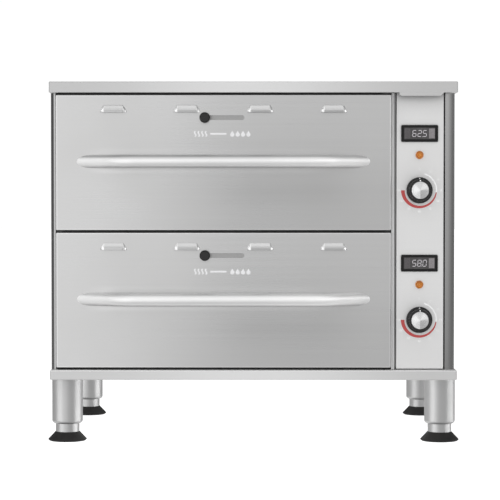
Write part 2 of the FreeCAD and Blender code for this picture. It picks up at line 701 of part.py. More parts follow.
# ------------------------------------------------------------ fixed slide rails
# Profile of each member: u is measured from the bay wall inward, v up from the slide's middle.
OUTER = [(0, -22.5), (10, -22.5), (10, -21.3), (1.2, -21.3), (1.2, 21.3), (10, 21.3), (10, 22.5), (0, 22.5)]
MIDDLE = [(2.2, -19.3), (10.8, -19.3), (10.8, -18.1), (3.4, -18.1), (3.4, 18.1), (10.8, 18.1), (10.8, 19.3), (2.2, 19.3)]
INNER = [(5.5, -15.5), (12.7, -15.5), (12.7, 15.5), (5.5, 15.5), (5.5, 14.3), (11.5, 14.3), (11.5, -14.3), (5.5, -14.3)]


def rail(name, shape, side, dz, length, y):
    b = body(name, sub=False)
    pts = []
    for u, v in shape:
        x = (xl + u) if side < 0 else (xr - u)
        pts.append((x, dz + sl_z + v))
    pad(b, poly(sketch(b, "XZ_Plane", -y), pts), length, rev=True)
    return b


group("slide_outer_members", [rail("%s_outer_%s" % (nm, s), OUTER, sg, dz, sl_l, sl_y)
                              for nm, dz, deck, kz in DRAWERS for s, sg in (("left", -1), ("right", 1))])

# ------------------------------------------------------------------- leg tubes
items = []
for nm, x, y in LEGS:
    b = body(nm + "_leg", sub=False)
    turn(b, poly(sketch(b, "XZ_Plane"), [(0, leg_z - 16), (stem_r + 0.5, leg_z - 16), (stem_r + 0.5, leg_bot),
                                         (leg_r, leg_bot), (leg_r, leg_z), (6.0, leg_z), (6.0, leg_z + 14),
                                         (0, leg_z + 14)]))
    fillet(b, ring_at("z", leg_bot, leg_r), 5.6)
    place(b, x, y, 0)
    items.append(b)
group("leg_tubes", items)

for nm, x, y in LEGS:
    b = body(nm + "_foot_stem")
    turn(b, poly(sketch(b, "XZ_Plane"), [(0, 6), (10, 6), (10, pad_h), (stem_r, pad_h), (stem_r, 86), (0, 86)]))
    fillet(b, ring_at("z", 86, stem_r), 2.0, "Chamfer")
    place(b, x, y, 0)
    b = body(nm + "_foot_pad")
    turn(b, poly(sketch(b, "XZ_Plane"), [(0, 0), (pad_r - 3, 0), (pad_r, 2.6), (stem_r + 0.6, pad_h), (10, pad_h),
                                         (10, 6), (0, 6)]))
    fillet(b, ring_at("z", 2.6, pad_r), 1.2)
    fillet(b, ring_at("z", pad_h, stem_r + 0.6), 1.0)
    place(b, x, y, 0)

# ------------------------------------------------------- fasteners, wiring, cord
items = []
for i, z in enumerate(SCREW_Z):
    for s, sx in (("left", -1), ("right", 1)):
        b = body("back_screw_%s_%d" % (s, i), sub=False)
        turn(b, poly(sketch(b, "XY_Plane"), [(0, -8.0), (2.0, -8.0), (2.0, 1.2), (4.2, 1.2), (4.2, 2.4), (3.4, 3.5),
                                             (0, 4.0)]))
        # Cross recess in the head.
        pocket(b, poly(sketch(b, "XZ_Plane", -4.2), [(-2.3, -0.5), (-0.5, -0.5), (-0.5, -2.3), (0.5, -2.3), (0.5, -0.5),
                                                     (2.3, -0.5), (2.3, 0.5), (0.5, 0.5), (0.5, 2.3), (-0.5, 2.3),
                                                     (-0.5, 0.5), (-2.3, 0.5)]), 1.9, rev=True)
        place(b, sx * (half_b - 9.5), back_y, z)
        items.append(b)
for nm, x, y in LEGS:
    b = body(nm + "_leg_nut", sub=False)
    pts = [(10.5 * math.cos(math.radians(60 * k)), 10.5 * math.sin(math.radians(60 * k))) for k in range(6)]
    sk = poly(sketch(b, "XY_Plane", leg_z + skin), [(q(round(u, 4)), q(round(v, 4))) for u, v in pts])
    circ(sk, 0, 0, 6.1)
    pad(b, sk, 8.0)
    place(b, x, y, 0)
    items.append(b)
group("fasteners", items)

b = body("terminal_block")
tb = back_y - 0.4
pad(b, rect(sketch(b, "XZ_Plane", -(tb - 22)), gl_x - 30, gl_z + 50, gl_x + 30, gl_z + 72), 22.0, rev=True)
sk = sketch(b, "XZ_Plane", -(tb - 22))
for k in (-1, 0, 1):
    rect(sk, gl_x + 18.5 * k - 7, gl_z + 52, gl_x + 18.5 * k + 7, gl_z + 70)
pocket(b, sk, 8.0)
sk = sketch(b, "XZ_Plane", -(tb - 14))
for k in (-1, 0, 1):
    circ(sk, gl_x + 18.5 * k, gl_z + 61, 4.0)
pad(b, sk, 3.0)

b = body("gland_body", sub=False)
o = back_y + skin
turn(b, poly(sketch(b, "XY_Plane"), [(gl_r, o - 14), (12.0, o - 14), (12.0, o), (16.5, o), (16.5, o + 7), (14.0, o + 8),
                                     (13.0, o + 15), (10.5, o + 18.0), (gl_r, o + 18.0)]))
place(b, gl_x, 0, gl_z)
gl_a = b
b = body("gland_nut", sub=False)
pts = [(17.0 * math.cos(math.radians(60 * k)), 17.0 * math.sin(math.radians(60 * k))) for k in range(6)]
sk = poly(sketch(b, "XZ_Plane", -(back_y - 5)), [(q(round(u, 4)), q(round(v, 4))) for u, v in pts])
circ(sk, 0, 0, 12.0)
pad(b, sk, 5.0, rev=True)
place(b, gl_x, 0, gl_z)
group("cord_gland", [gl_a, b])

# ----------------------------------------------------------------------- knobs
for nm, dz, deck, kz in DRAWERS:
    b = body(nm + "_knob")
    k0 = pan_y - 0.7
    turn(b, poly(sketch(b, "XY_Plane"),
                 [(3.05, k0), (knob_r, k0), (knob_r, k0 - 2.6), (knob_r - 1.2, k0 - 3.6), (knob_r - 3.2, k0 - 4.2),
                  (knob_r - 4.2, k0 - 19.6), (cap_r + 0.3, k0 - 19.6), (cap_r + 0.3, k0 - 18.6), (0, k0 - 18.6),
                  (0, k0 - 13.4), (3.05, k0 - 13.4)]))
    fillet(b, ring_at("y", k0 - 19.6, knob_r - 4.2), 1.4)
    fillet(b, ring_at("y", k0 - 2.6, knob_r), 0.6)
    place(b, ctl_x, 0, kz)
    b = body(nm + "_knob_cap")
    turn(b, poly(sketch(b, "XY_Plane"), [(0, k0 - 18.6), (cap_r, k0 - 18.6), (cap_r, k0 - 20.4), (cap_r - 0.8, k0 - 21.0),
                                         (cap_r - 2.4, k0 - 21.0), (cap_r - 3.0, k0 - 20.5), (0, k0 - 20.9)]))
    place(b, ctl_x, 0, kz)
    b = body(nm + "_thermostat_shaft")
    sk = circ(sketch(b, "XZ_Plane", -(k0 - 13.2)), 0, 0, 3.0)
    pad(b, sk, 20.0, rev=True)
    sk = sketch(b, "XZ_Plane", -(k0 - 13.2))
    rect(sk, -4, 1.9, 4, 4)
    pocket(b, sk, 10.0)
    place(b, ctl_x, 0, kz)

# --------------------------------------------------------------------- drawers
lv_bot = lv_top - lv_hi
LV_X = [-1.5, -0.5, 0.5, 1.5]
for nm, dz, deck, kz in DRAWERS:
    # Outer skin: a shallow tray with its mouth to the rear.
    b = body(nm + "_drawer_front")
    pad(b, rect(sketch(b, "XZ_Plane", -face), -(fw / 2), 0, fw / 2, fh), fd, rev=True)
    fillet(b, lambda e: straight(e) and e.BoundBox.YLength > 20, 2.0)
    fillet(b, lambda e: e.BoundBox.YMax < face.value + 0.05, 1.5)
    pocket(b, rect(sketch(b, "XZ_Plane", -(face + skin)), skin - fw / 2, skin, fw / 2 - skin, fh - skin), fd)
    # Shutter guides on the inside.
    sh_lo, sh_hi = lv_bot - 20.7, lv_top + 7.7
    g0, g1 = face + skin, face + skin + 3.5
    sk = sketch(b, "XZ_Plane", -g0)
    rect(sk, 14 - fw / 2, sh_hi + 0.5, fw / 2 - 4, sh_hi + 4.5)
    rect(sk, 14 - fw / 2, sh_lo - 4.5, fw / 2 - 4, sh_lo - 0.5)
    pad(b, sk, 2.3, rev=True)
    sk = sketch(b, "XZ_Plane", -(g0 + 2.3))
    rect(sk, 14 - fw / 2, sh_hi - 4.0, fw / 2 - 4, sh_hi + 4.5)
    rect(sk, 14 - fw / 2, sh_lo - 4.5, fw / 2 - 4, sh_lo + 4.0)
    pad(b, sk, 1.2, rev=True)
    # Pressed louvres: a hood that slopes out and opens downward, its ends turned about an upright axis.
    hood = [(face + 0.4, lv_top), (face - 0.6, lv_top - 1.2), (face - 4.2, lv_top - 7.0), (face - 5.4, lv_top - 9.6),
            (face - lv_out, lv_top - 12.2), (face - lv_out, lv_bot), (face + 0.4, lv_bot)]
    ends = [(0, lv_top), (lv_back - 0.4, lv_top), (lv_back + 0.6, lv_top - 1.2), (lv_back + 4.2, lv_top - 7.0),
            (lv_back + 5.4, lv_top - 9.6), (lv_back + lv_out, lv_top - 12.2), (lv_back + lv_out, lv_bot), (0, lv_bot)]
    void = [(face + 2, lv_top - 3.4), (face - 0.6, lv_top - 3.4), (face - 2.9, lv_top - 7.2), (face - 4.2, lv_top - 9.8),
            (face - lv_out + 1.0, lv_top - 12.4), (face - lv_out + 1.0, lv_bot - 0.4), (face - 0.0, lv_bot - 0.4),
            (face - 0.0, lv_bot + 0.6), (face + 2, lv_bot + 0.6)]
    straight_half = lv_len / 2 - lv_out - 1.75
    sk = sketch(b, "YZ_Plane", lv_pitch * LV_X[0] - straight_half)
    poly(sk, hood)
    h1 = pad(b, sk, 2 * straight_half)
    caps = []
    for s in (-1, 1):
        sk = b.newObject("Sketcher::SketchObject", b.Name + "_sketch")
        pl = [f for f in b.Origin.OriginFeatures if f.Role == "XZ_Plane"][0]
        sk.AttachmentSupport = (pl, [""])
        sk.MapMode = "FlatFace"
        off = lv_pitch * LV_X[0] + s * straight_half
        axis_y = face + lv_back
        sk.AttachmentOffset = FreeCAD.Placement(V(off.value, 0, -(axis_y.value)), FreeCAD.Rotation())
        sk.setExpression("AttachmentOffset.Base.x", off.text)
        sk.setExpression("AttachmentOffset.Base.z", (-axis_y).text)
        poly(sk, [(s * q(u), v) for u, v in ends])
        caps.append(turn(b, sk, "V_Axis", "Revolution", 360.0))
    sk = sketch(b, "YZ_Plane", lv_pitch * LV_X[0] - straight_half - 1.5)
    poly(sk, void)
    h2 = pocket(b, sk, 2 * straight_half + 3.0, rev=True)
    lp = b.newObject("PartDesign::LinearPattern", nm + "_louvres")
    lp.Originals = [h1] + caps + [h2]
    lp.Direction = (sketch(b, "XZ_Plane"), ["H_Axis"])
    put(lp, "Length", lv_pitch * 3)
    lp.Occurrences = 4
    b.Tip = lp
    # Slider slot and the two handle stud holes.
    sk = sketch(b, "XZ_Plane", -(face - 1))
    stadium(sk, 0, slot_z, slot_c, slot_w / 2)
    circ(sk, -hd_foot, hd_z, 3.2)
    circ(sk, hd_foot, hd_z, 3.2)
    pocket(b, sk, 4.0)
    # The turned hood ends leave nothing behind the sheet.
    sk = sketch(b, "XZ_Plane", -(face + skin))
    rect(sk, lv_pitch * -2, lv_bot - 2, lv_pitch * 2, lv_top + 2)
    pocket(b, sk, 10.0)
    place(b, dcx, 0, dz)

    b = body(nm + "_front_inner_panel")
    ip = face + fd - skin
    sk = sketch(b, "XZ_Plane", -ip)
    rect(sk, 1.6 - fw / 2, 1.6, fw / 2 - 1.6, fh - 1.6)
    pad(b, sk, skin, rev=True)
    sk = sketch(b, "XZ_Plane", -(ip - 1))
    for k in LV_X:
        stadium(sk, lv_pitch * k, lv_top - lv_hi / 2, 17.0, 7.0)
    pocket(b, sk, 4.0)
    place(b, dcx, 0, dz)

    b = body(nm + "_front_insulation")
    sk = sketch(b, "XZ_Plane", -(face + skin + 0.3))
    rect(sk, 2 - fw / 2, 2, fw / 2 - 2, sh_lo - 6)
    pad(b, sk, fd - 2 * skin - 0.6, rev=True)
    sk = sketch(b, "XZ_Plane", -face)
    circ(sk, -hd_foot, hd_z, 8.0)
    circ(sk, hd_foot, hd_z, 8.0)
    pocket(b, sk, fd)
    place(b, dcx, 0, dz)

    b = body(nm + "_front_gasket")
    sk = sketch(b, "XZ_Plane", -(face + fd))
    rect(sk, -301.0, -1.6, 301.0, fh + 1.6)
    rect(sk, -293.5, 6.3, 293.5, fh - 5.6)
    pad(b, sk, bay_y - face - fd - 0.3, rev=True)
    fillet(b, lambda e: straight(e) and e.BoundBox.YLength > 2 and abs(e.BoundBox.XMin) > 300, 2.5)
    place(b, dcx, 0, dz)

    # Bowed handle: straight bar, and ends that bend back through 28 degrees and run out flush on the face.
    b = body(nm + "_drawer_handle")
    hy = face - hd_out
    sn, cs = math.sin(math.radians(28.0)), math.cos(math.radians(28.0))
    rise = hd_bend * (1 - cs)
    bar_half = hd_foot - hd_bend * sn - (hd_out - rise) * (cs / sn)
    pad(b, circ(sketch(b, "YZ_Plane", -bar_half), hy, hd_z, hd_r), 2 * bar_half)
    for s in (-1, 1):
        sk = sketch(b, "XY_Plane", hd_z)
        xa, ya = s * bar_half, hy
        xb, yc = s * (bar_half + hd_bend * sn), hy + rise
        xd, ye = s * (bar_half + hd_bend * sn + 70 * cs), hy + rise + 70 * sn
        a0, a1 = (-90.0, -62.0) if s > 0 else (-118.0, -90.0)
        near, far = (1, 2) if s > 0 else (2, 1)
        g = sk.addGeometry(Part.ArcOfCircle(Part.Circle(V(xa.value, ya.value + hd_bend.value, 0), V(0, 0, 1), hd_bend.value),
                                            math.radians(a0), math.radians(a1)), False)
        ln = sk.addGeometry(Part.LineSegment(V(xb.value, yc.value, 0), V(xd.value, ye.value, 0)), False)
        sk.addConstraint(Sketcher.Constraint("Coincident", g, far, ln, 1))
        sk.addConstraint(Sketcher.Constraint("Vertical", g, near, g, 3))
        fix(sk, "DistanceX", g, 3, xa)
        fix(sk, "DistanceY", g, 3, ya + hd_bend)
        fix(sk, "DistanceX", ln, 1, xb)
        fix(sk, "DistanceY", ln, 1, yc)
        fix(sk, "DistanceX", ln, 2, xd)
        fix(sk, "DistanceY", ln, 2, ye)
        prof = circ(sketch(b, "YZ_Plane", xa), hy, hd_z, hd_r)
        f = b.newObject("PartDesign::AdditivePipe", b.Name + "_end")
        f.Profile = prof
        f.Spine = (sk, [])
        b.Tip = f
    pocket(b, rect(sketch(b, "XZ_Plane", -face), -(hd_half + 60), hd_z - 30, hd_half + 60, hd_z + 30), 60.0)
    sk = sketch(b, "XZ_Plane", -(face - 1))
    circ(sk, -hd_foot, hd_z, 3.0)
    circ(sk, hd_foot, hd_z, 3.0)
    pad(b, sk, 14.0, rev=True)
    place(b, dcx, 0, dz)

    # Frame: two sides, a front and a back, each with a ledge turned in for the pan.
    parts = []
    w = cav - 12.7
    for s in (-1, 1):
        b = body("%s_frame_%s" % (nm, "left" if s < 0 else "right"), sub=False)
        pts = [(w, fr_lo), (w, fr_hi), (w - 15, fr_hi), (w - 15, fr_hi - fr_t), (w - fr_t, fr_hi - fr_t), (w - fr_t, fr_lo)]
        pad(b, poly(sketch(b, "XZ_Plane", -(face + fd)), [(s * u, v) for u, v in pts]), fr_b - face - fd, rev=True)
        place(b, dcx, 0, dz)
        parts.append(b)
    wi = w - fr_t
    b = body(nm + "_frame_front", sub=False)
    y0 = face + fd
    pad(b, rect(sketch(b, "YZ_Plane", -wi), y0, fr_lo, y0 + fr_t, fr_hi - fr_t), 2 * wi)
    sk = sketch(b, "XY_Plane", fr_hi - fr_t)
    rect(sk, 15 - w, y0, w - 15, y0 + 15)
    pad(b, sk, fr_t)
    place(b, dcx, 0, dz)
    parts.append(b)
    b = body(nm + "_frame_back", sub=False)
    pad(b, rect(sketch(b, "YZ_Plane", -wi), fr_b - fr_t, fr_lo, fr_b, fr_hi - fr_t), 2 * wi)
    sk = sketch(b, "XY_Plane", fr_hi - fr_t)
    rect(sk, 15 - w, fr_b - 15, w - 15, fr_b)
    pad(b, sk, fr_t)
    place(b, dcx, 0, dz)
    parts.append(b)
    group(nm + "_drawer_frame", parts)

    # Pan: drawn tray with a flat rim that sits on the ledges.
    b = body(nm + "_pan_outside", sub=False)
    pb = fr_hi - pan_deep
    sk = sketch(b, "XY_Plane", pb)
    rect(sk, -pan_wx, pan_yf, pan_wx, pan_yb)
    pad(b, sk, pan_deep)
    fillet(b, lambda e: straight(e) and e.BoundBox.ZLength > 50, 24.0)
    fillet(b, lambda e: e.BoundBox.ZMax < pb.value + 0.05, 12.0)
    sk = sketch(b, "XY_Plane", fr_hi)
    rect(sk, -(pan_wx + 14), pan_yf - 14, pan_wx + 14, pan_yb + 14)
    pad(b, sk, pan_t)
    fillet(b, lambda e: straight(e) and abs(e.BoundBox.ZLength - pan_t.value) < 0.01, 20.0)
    place(b, dcx, 0, dz)
    pan_out = b
    b = body(nm + "_pan_inside", sub=False)
    sk = sketch(b, "XY_Plane", pb + pan_t)
    rect(sk, pan_t - pan_wx, pan_yf + pan_t, pan_wx - pan_t, pan_yb - pan_t)
    pad(b, sk, pan_deep + 5)
    fillet(b, lambda e: straight(e) and e.BoundBox.ZLength > 50, 22.8)
    fillet(b, lambda e: e.BoundBox.ZMax < (pb + pan_t).value + 0.05, 10.8)
    place(b, dcx, 0, dz)
    cut(nm + "_drawer_pan", pan_out, [b], sub=True)

    group(nm + "_slide_inner_members", [rail("%s_inner_%s" % (nm, s), INNER, sg, dz, sl_l, sl_y)
                                        for s, sg in (("left", -1), ("right", 1))])
    group(nm + "_slide_middle_members", [rail("%s_middle_%s" % (nm, s), MIDDLE, sg, dz, sl_l, sl_y)
                                         for s, sg in (("left", -1), ("right", 1))])

    # Vent shutter behind the louvres, and its knob through the slot.
    b = body(nm + "_vent_shutter")
    s0 = face + skin + 0.5
    pad(b, rect(sketch(b, "XZ_Plane", -s0), -236.0, sh_lo, 236.0, sh_hi), skin, rev=True)
    sk = sketch(b, "XZ_Plane", -(s0 - 1))
    for k in LV_X:
        rect(sk, lv_pitch * k - 26, lv_bot - 1, lv_pitch * k + 26, lv_top + 1)
    circ(sk, -slot_c, slot_z, 2.5)
    pocket(b, sk, 4.0)
    place(b, dcx, 0, dz)

    b = body(nm + "_vent_knob")
    turn(b, poly(sketch(b, "XY_Plane"),
                 [(0, face - 9.5), (7.6, face - 9.5), (9.7, face - 7.6), (9.7, face - 1.6), (9.0, face - 0.5),
                  (slot_w / 2 - 0.6, face - 0.5), (slot_w / 2 - 0.6, s0), (2.5, s0), (2.5, s0 + 1.8), (0, s0 + 1.8)]))
    fillet(b, ring_at("y", face - 9.5, 7.6), 1.0)
    place(b, dcx - slot_c, 0, dz + slot_z)

# ---------------------------------------------------------------------- output
doc.recompute()
bad = [o.Name for o in doc.Objects if "Invalid" in o.State or "Error" in o.State]
if bad:
    raise RuntimeError("did not compute: " + ", ".join(bad))
os.makedirs("parts", exist_ok=True)
names = [o.Label for o in SUBPARTS]
if len(names) != len(set(names)) or len(names) > 60:
    raise RuntimeError("labels: %d" % len(names))
for f in os.listdir("parts"):
    if f.endswith(".step") and f[:-5] not in names:
        os.remove(os.path.join("parts", f))
for o in SUBPARTS:
    s = o.Shape
    if s.isNull() or not s.isValid() or not s.Solids:
        raise RuntimeError("bad shape: " + o.Label)
    s.exportStep("parts/" + o.Label + ".step")
    bb = s.BoundBox
    print("%-28s %2d solids %9.1f cm3  x %.1f..%.1f  y %.1f..%.1f  z %.1f..%.1f" % (
        o.Label, len(s.Solids), s.Volume / 1000, bb.XMin, bb.XMax, bb.YMin, bb.YMax, bb.ZMin, bb.ZMax))
print(len(SUBPARTS), "sub-parts")
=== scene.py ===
import math

import bmesh
import bpy
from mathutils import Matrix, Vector


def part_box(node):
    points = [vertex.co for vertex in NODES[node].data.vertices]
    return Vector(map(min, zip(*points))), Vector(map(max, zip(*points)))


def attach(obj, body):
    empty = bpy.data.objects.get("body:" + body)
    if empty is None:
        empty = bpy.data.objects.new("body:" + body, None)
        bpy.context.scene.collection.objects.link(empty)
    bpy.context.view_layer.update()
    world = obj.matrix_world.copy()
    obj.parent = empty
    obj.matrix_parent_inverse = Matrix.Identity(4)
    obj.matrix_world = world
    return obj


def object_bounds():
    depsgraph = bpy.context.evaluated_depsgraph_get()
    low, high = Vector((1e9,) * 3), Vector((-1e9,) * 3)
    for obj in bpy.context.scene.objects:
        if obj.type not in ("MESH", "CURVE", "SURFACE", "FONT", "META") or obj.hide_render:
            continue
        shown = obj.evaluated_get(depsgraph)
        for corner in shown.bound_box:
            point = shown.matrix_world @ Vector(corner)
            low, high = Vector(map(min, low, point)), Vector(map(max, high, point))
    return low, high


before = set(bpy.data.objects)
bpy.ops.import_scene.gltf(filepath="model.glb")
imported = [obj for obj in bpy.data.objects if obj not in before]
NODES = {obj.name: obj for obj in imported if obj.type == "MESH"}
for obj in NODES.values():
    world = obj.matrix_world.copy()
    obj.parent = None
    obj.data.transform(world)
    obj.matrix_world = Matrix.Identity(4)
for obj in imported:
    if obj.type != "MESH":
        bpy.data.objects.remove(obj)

CAD_LO, CAD_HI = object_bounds()
CAD_LO, CAD_HI = list(CAD_LO), list(CAD_HI)
scene = bpy.context.scene
scene.view_settings.view_transform = "Standard"
MM = 0.001
DRAWERS = ("upper", "lower")


# ------------------------------------------------------------------ materials
class Finish:
    """One node-based material round a Principled shader. Coordinates are metres on the piece at rest."""

    def __init__(self, name):
        self.material = bpy.data.materials.new(name)
        self.material.use_nodes = True
        self.tree = self.material.node_tree
        self.tree.nodes.clear()
        out = self.add("ShaderNodeOutputMaterial")
        self.shader = self.add("ShaderNodeBsdfPrincipled")
        self.link(self.shader.outputs[0], out.inputs["Surface"])
        self.place = self.add("ShaderNodeTexCoord").outputs["Object"]
        self.normal = self.add("ShaderNodeNewGeometry").outputs["Normal"]

    def add(self, kind, **values):
        node = self.tree.nodes.new(kind)
        for key, value in values.items():
            setattr(node, key, value)
        return node

    def link(self, a, b):
        self.tree.links.new(a, b)

    def put(self, socket, value):
        if isinstance(value, bpy.types.NodeSocket):
            self.link(value, socket)
        else:
            socket.default_value = value

    def set(self, **values):
        for key, value in values.items():
            self.put(self.shader.inputs[key.replace("_", " ")], value)
        return self

    def coords(self, scale, shift=(0, 0, 0)):
        node = self.add("ShaderNodeMapping")
        node.inputs["Scale"].default_value = scale
        node.inputs["Location"].default_value = shift
        self.link(self.place, node.inputs["Vector"])
        return node.outputs[0]

    def noise(self, scale, detail=4.0, rough=0.55, shift=(0, 0, 0), warp=0.0):
        node = self.add("ShaderNodeTexNoise")
        self.link(self.coords(scale, shift), node.inputs["Vector"])
        node.inputs["Scale"].default_value = 1.0
        node.inputs["Detail"].default_value = detail
        node.inputs["Roughness"].default_value = rough
        node.inputs["Distortion"].default_value = warp
        return node.outputs[0]

    def speck(self, scale, shift=(0, 0, 0)):
        node = self.add("ShaderNodeTexVoronoi")
        self.link(self.coords(scale, shift), node.inputs["Vector"])
        node.inputs["Scale"].default_value = 1.0
        return node.outputs["Distance"]

    def span(self, value, lo, hi, a, b):
        node = self.add("ShaderNodeMapRange")
        self.put(node.inputs["Value"], value)
        for key, v in (("From Min", lo), ("From Max", hi), ("To Min", a), ("To Max", b)):
            node.inputs[key].default_value = v
        return node.outputs[0]

    def smooth(self, value, lo, hi):
        """0 at lo and 1 at hi, eased."""
        node = self.add("ShaderNodeMapRange", interpolation_type="SMOOTHSTEP")
        self.put(node.inputs["Value"], value)
        if lo < hi:
            pairs = (("From Min", lo), ("From Max", hi), ("To Min", 0.0), ("To Max", 1.0))
        else:
            pairs = (("From Min", hi), ("From Max", lo), ("To Min", 1.0), ("To Max", 0.0))
        for key, v in pairs:
            node.inputs[key].default_value = v
        return node.outputs[0]

    def steps(self, value, stops):
        """A soft curve through the given (place, level) stops."""
        node = self.add("ShaderNodeValToRGB")
        ramp = node.color_ramp
        ramp.interpolation = "EASE"
        while len(ramp.elements) < len(stops):
            ramp.elements.new(0.5)
        for spot, (where, level) in zip(ramp.elements, stops):
            spot.position = where
            spot.color = (level, level, level, 1.0)
        self.put(node.inputs[0], value)
        return node.outputs[0]

    def math(self, kind, a, b=0.0):
        node = self.add("ShaderNodeMath", operation=kind)
        self.put(node.inputs[0], a)
        self.put(node.inputs[1], b)
        return node.outputs[0]

    def vector(self, kind, a, b):
        node = self.add("ShaderNodeVectorMath", operation=kind)
        self.put(node.inputs[0], a)
        self.put(node.inputs[1], b)
        return node.outputs["Value"] if kind in ("DOT_PRODUCT", "LENGTH") else node.outputs["Vector"]

    def blend(self, fac, a, b, kind="MIX"):
        node = self.add("ShaderNodeMix", data_type="RGBA", blend_type=kind)
        self.put(node.inputs[0], fac)
        for socket, v in ((node.inputs[6], a), (node.inputs[7], b)):
            self.put(socket, v if isinstance(v, bpy.types.NodeSocket) else (*v, 1.0))
        return node.outputs[2]

    def bump(self, height, strength, depth, under=None):
        node = self.add("ShaderNodeBump")
        node.inputs["Strength"].default_value = strength
        node.inputs["Distance"].default_value = depth
        self.link(height, node.inputs["Height"])
        if under is not None:
            self.link(under, node.inputs["Normal"])
        return node.outputs[0]

    def edges(self, radius):
        """1 on a worn edge, 0 on open faces."""
        node = self.add("ShaderNodeBevel", samples=4)
        node.inputs["Radius"].default_value = radius
        turn = self.vector("DOT_PRODUCT", node.outputs[0], self.normal)
        return self.span(turn, 0.86, 0.995, 1.0, 0.0)


def grey(v, warm=0.0):
    return (v * (1 + warm), v, v * (1 - warm))


# Grain runs a hair off the axes, so that faces square to it still have a direction.
GRAIN = {"x": (1, 0.011, 0.017), "y": (0.017, 1, 0.011), "z": (0.011, 0.017, 1)}


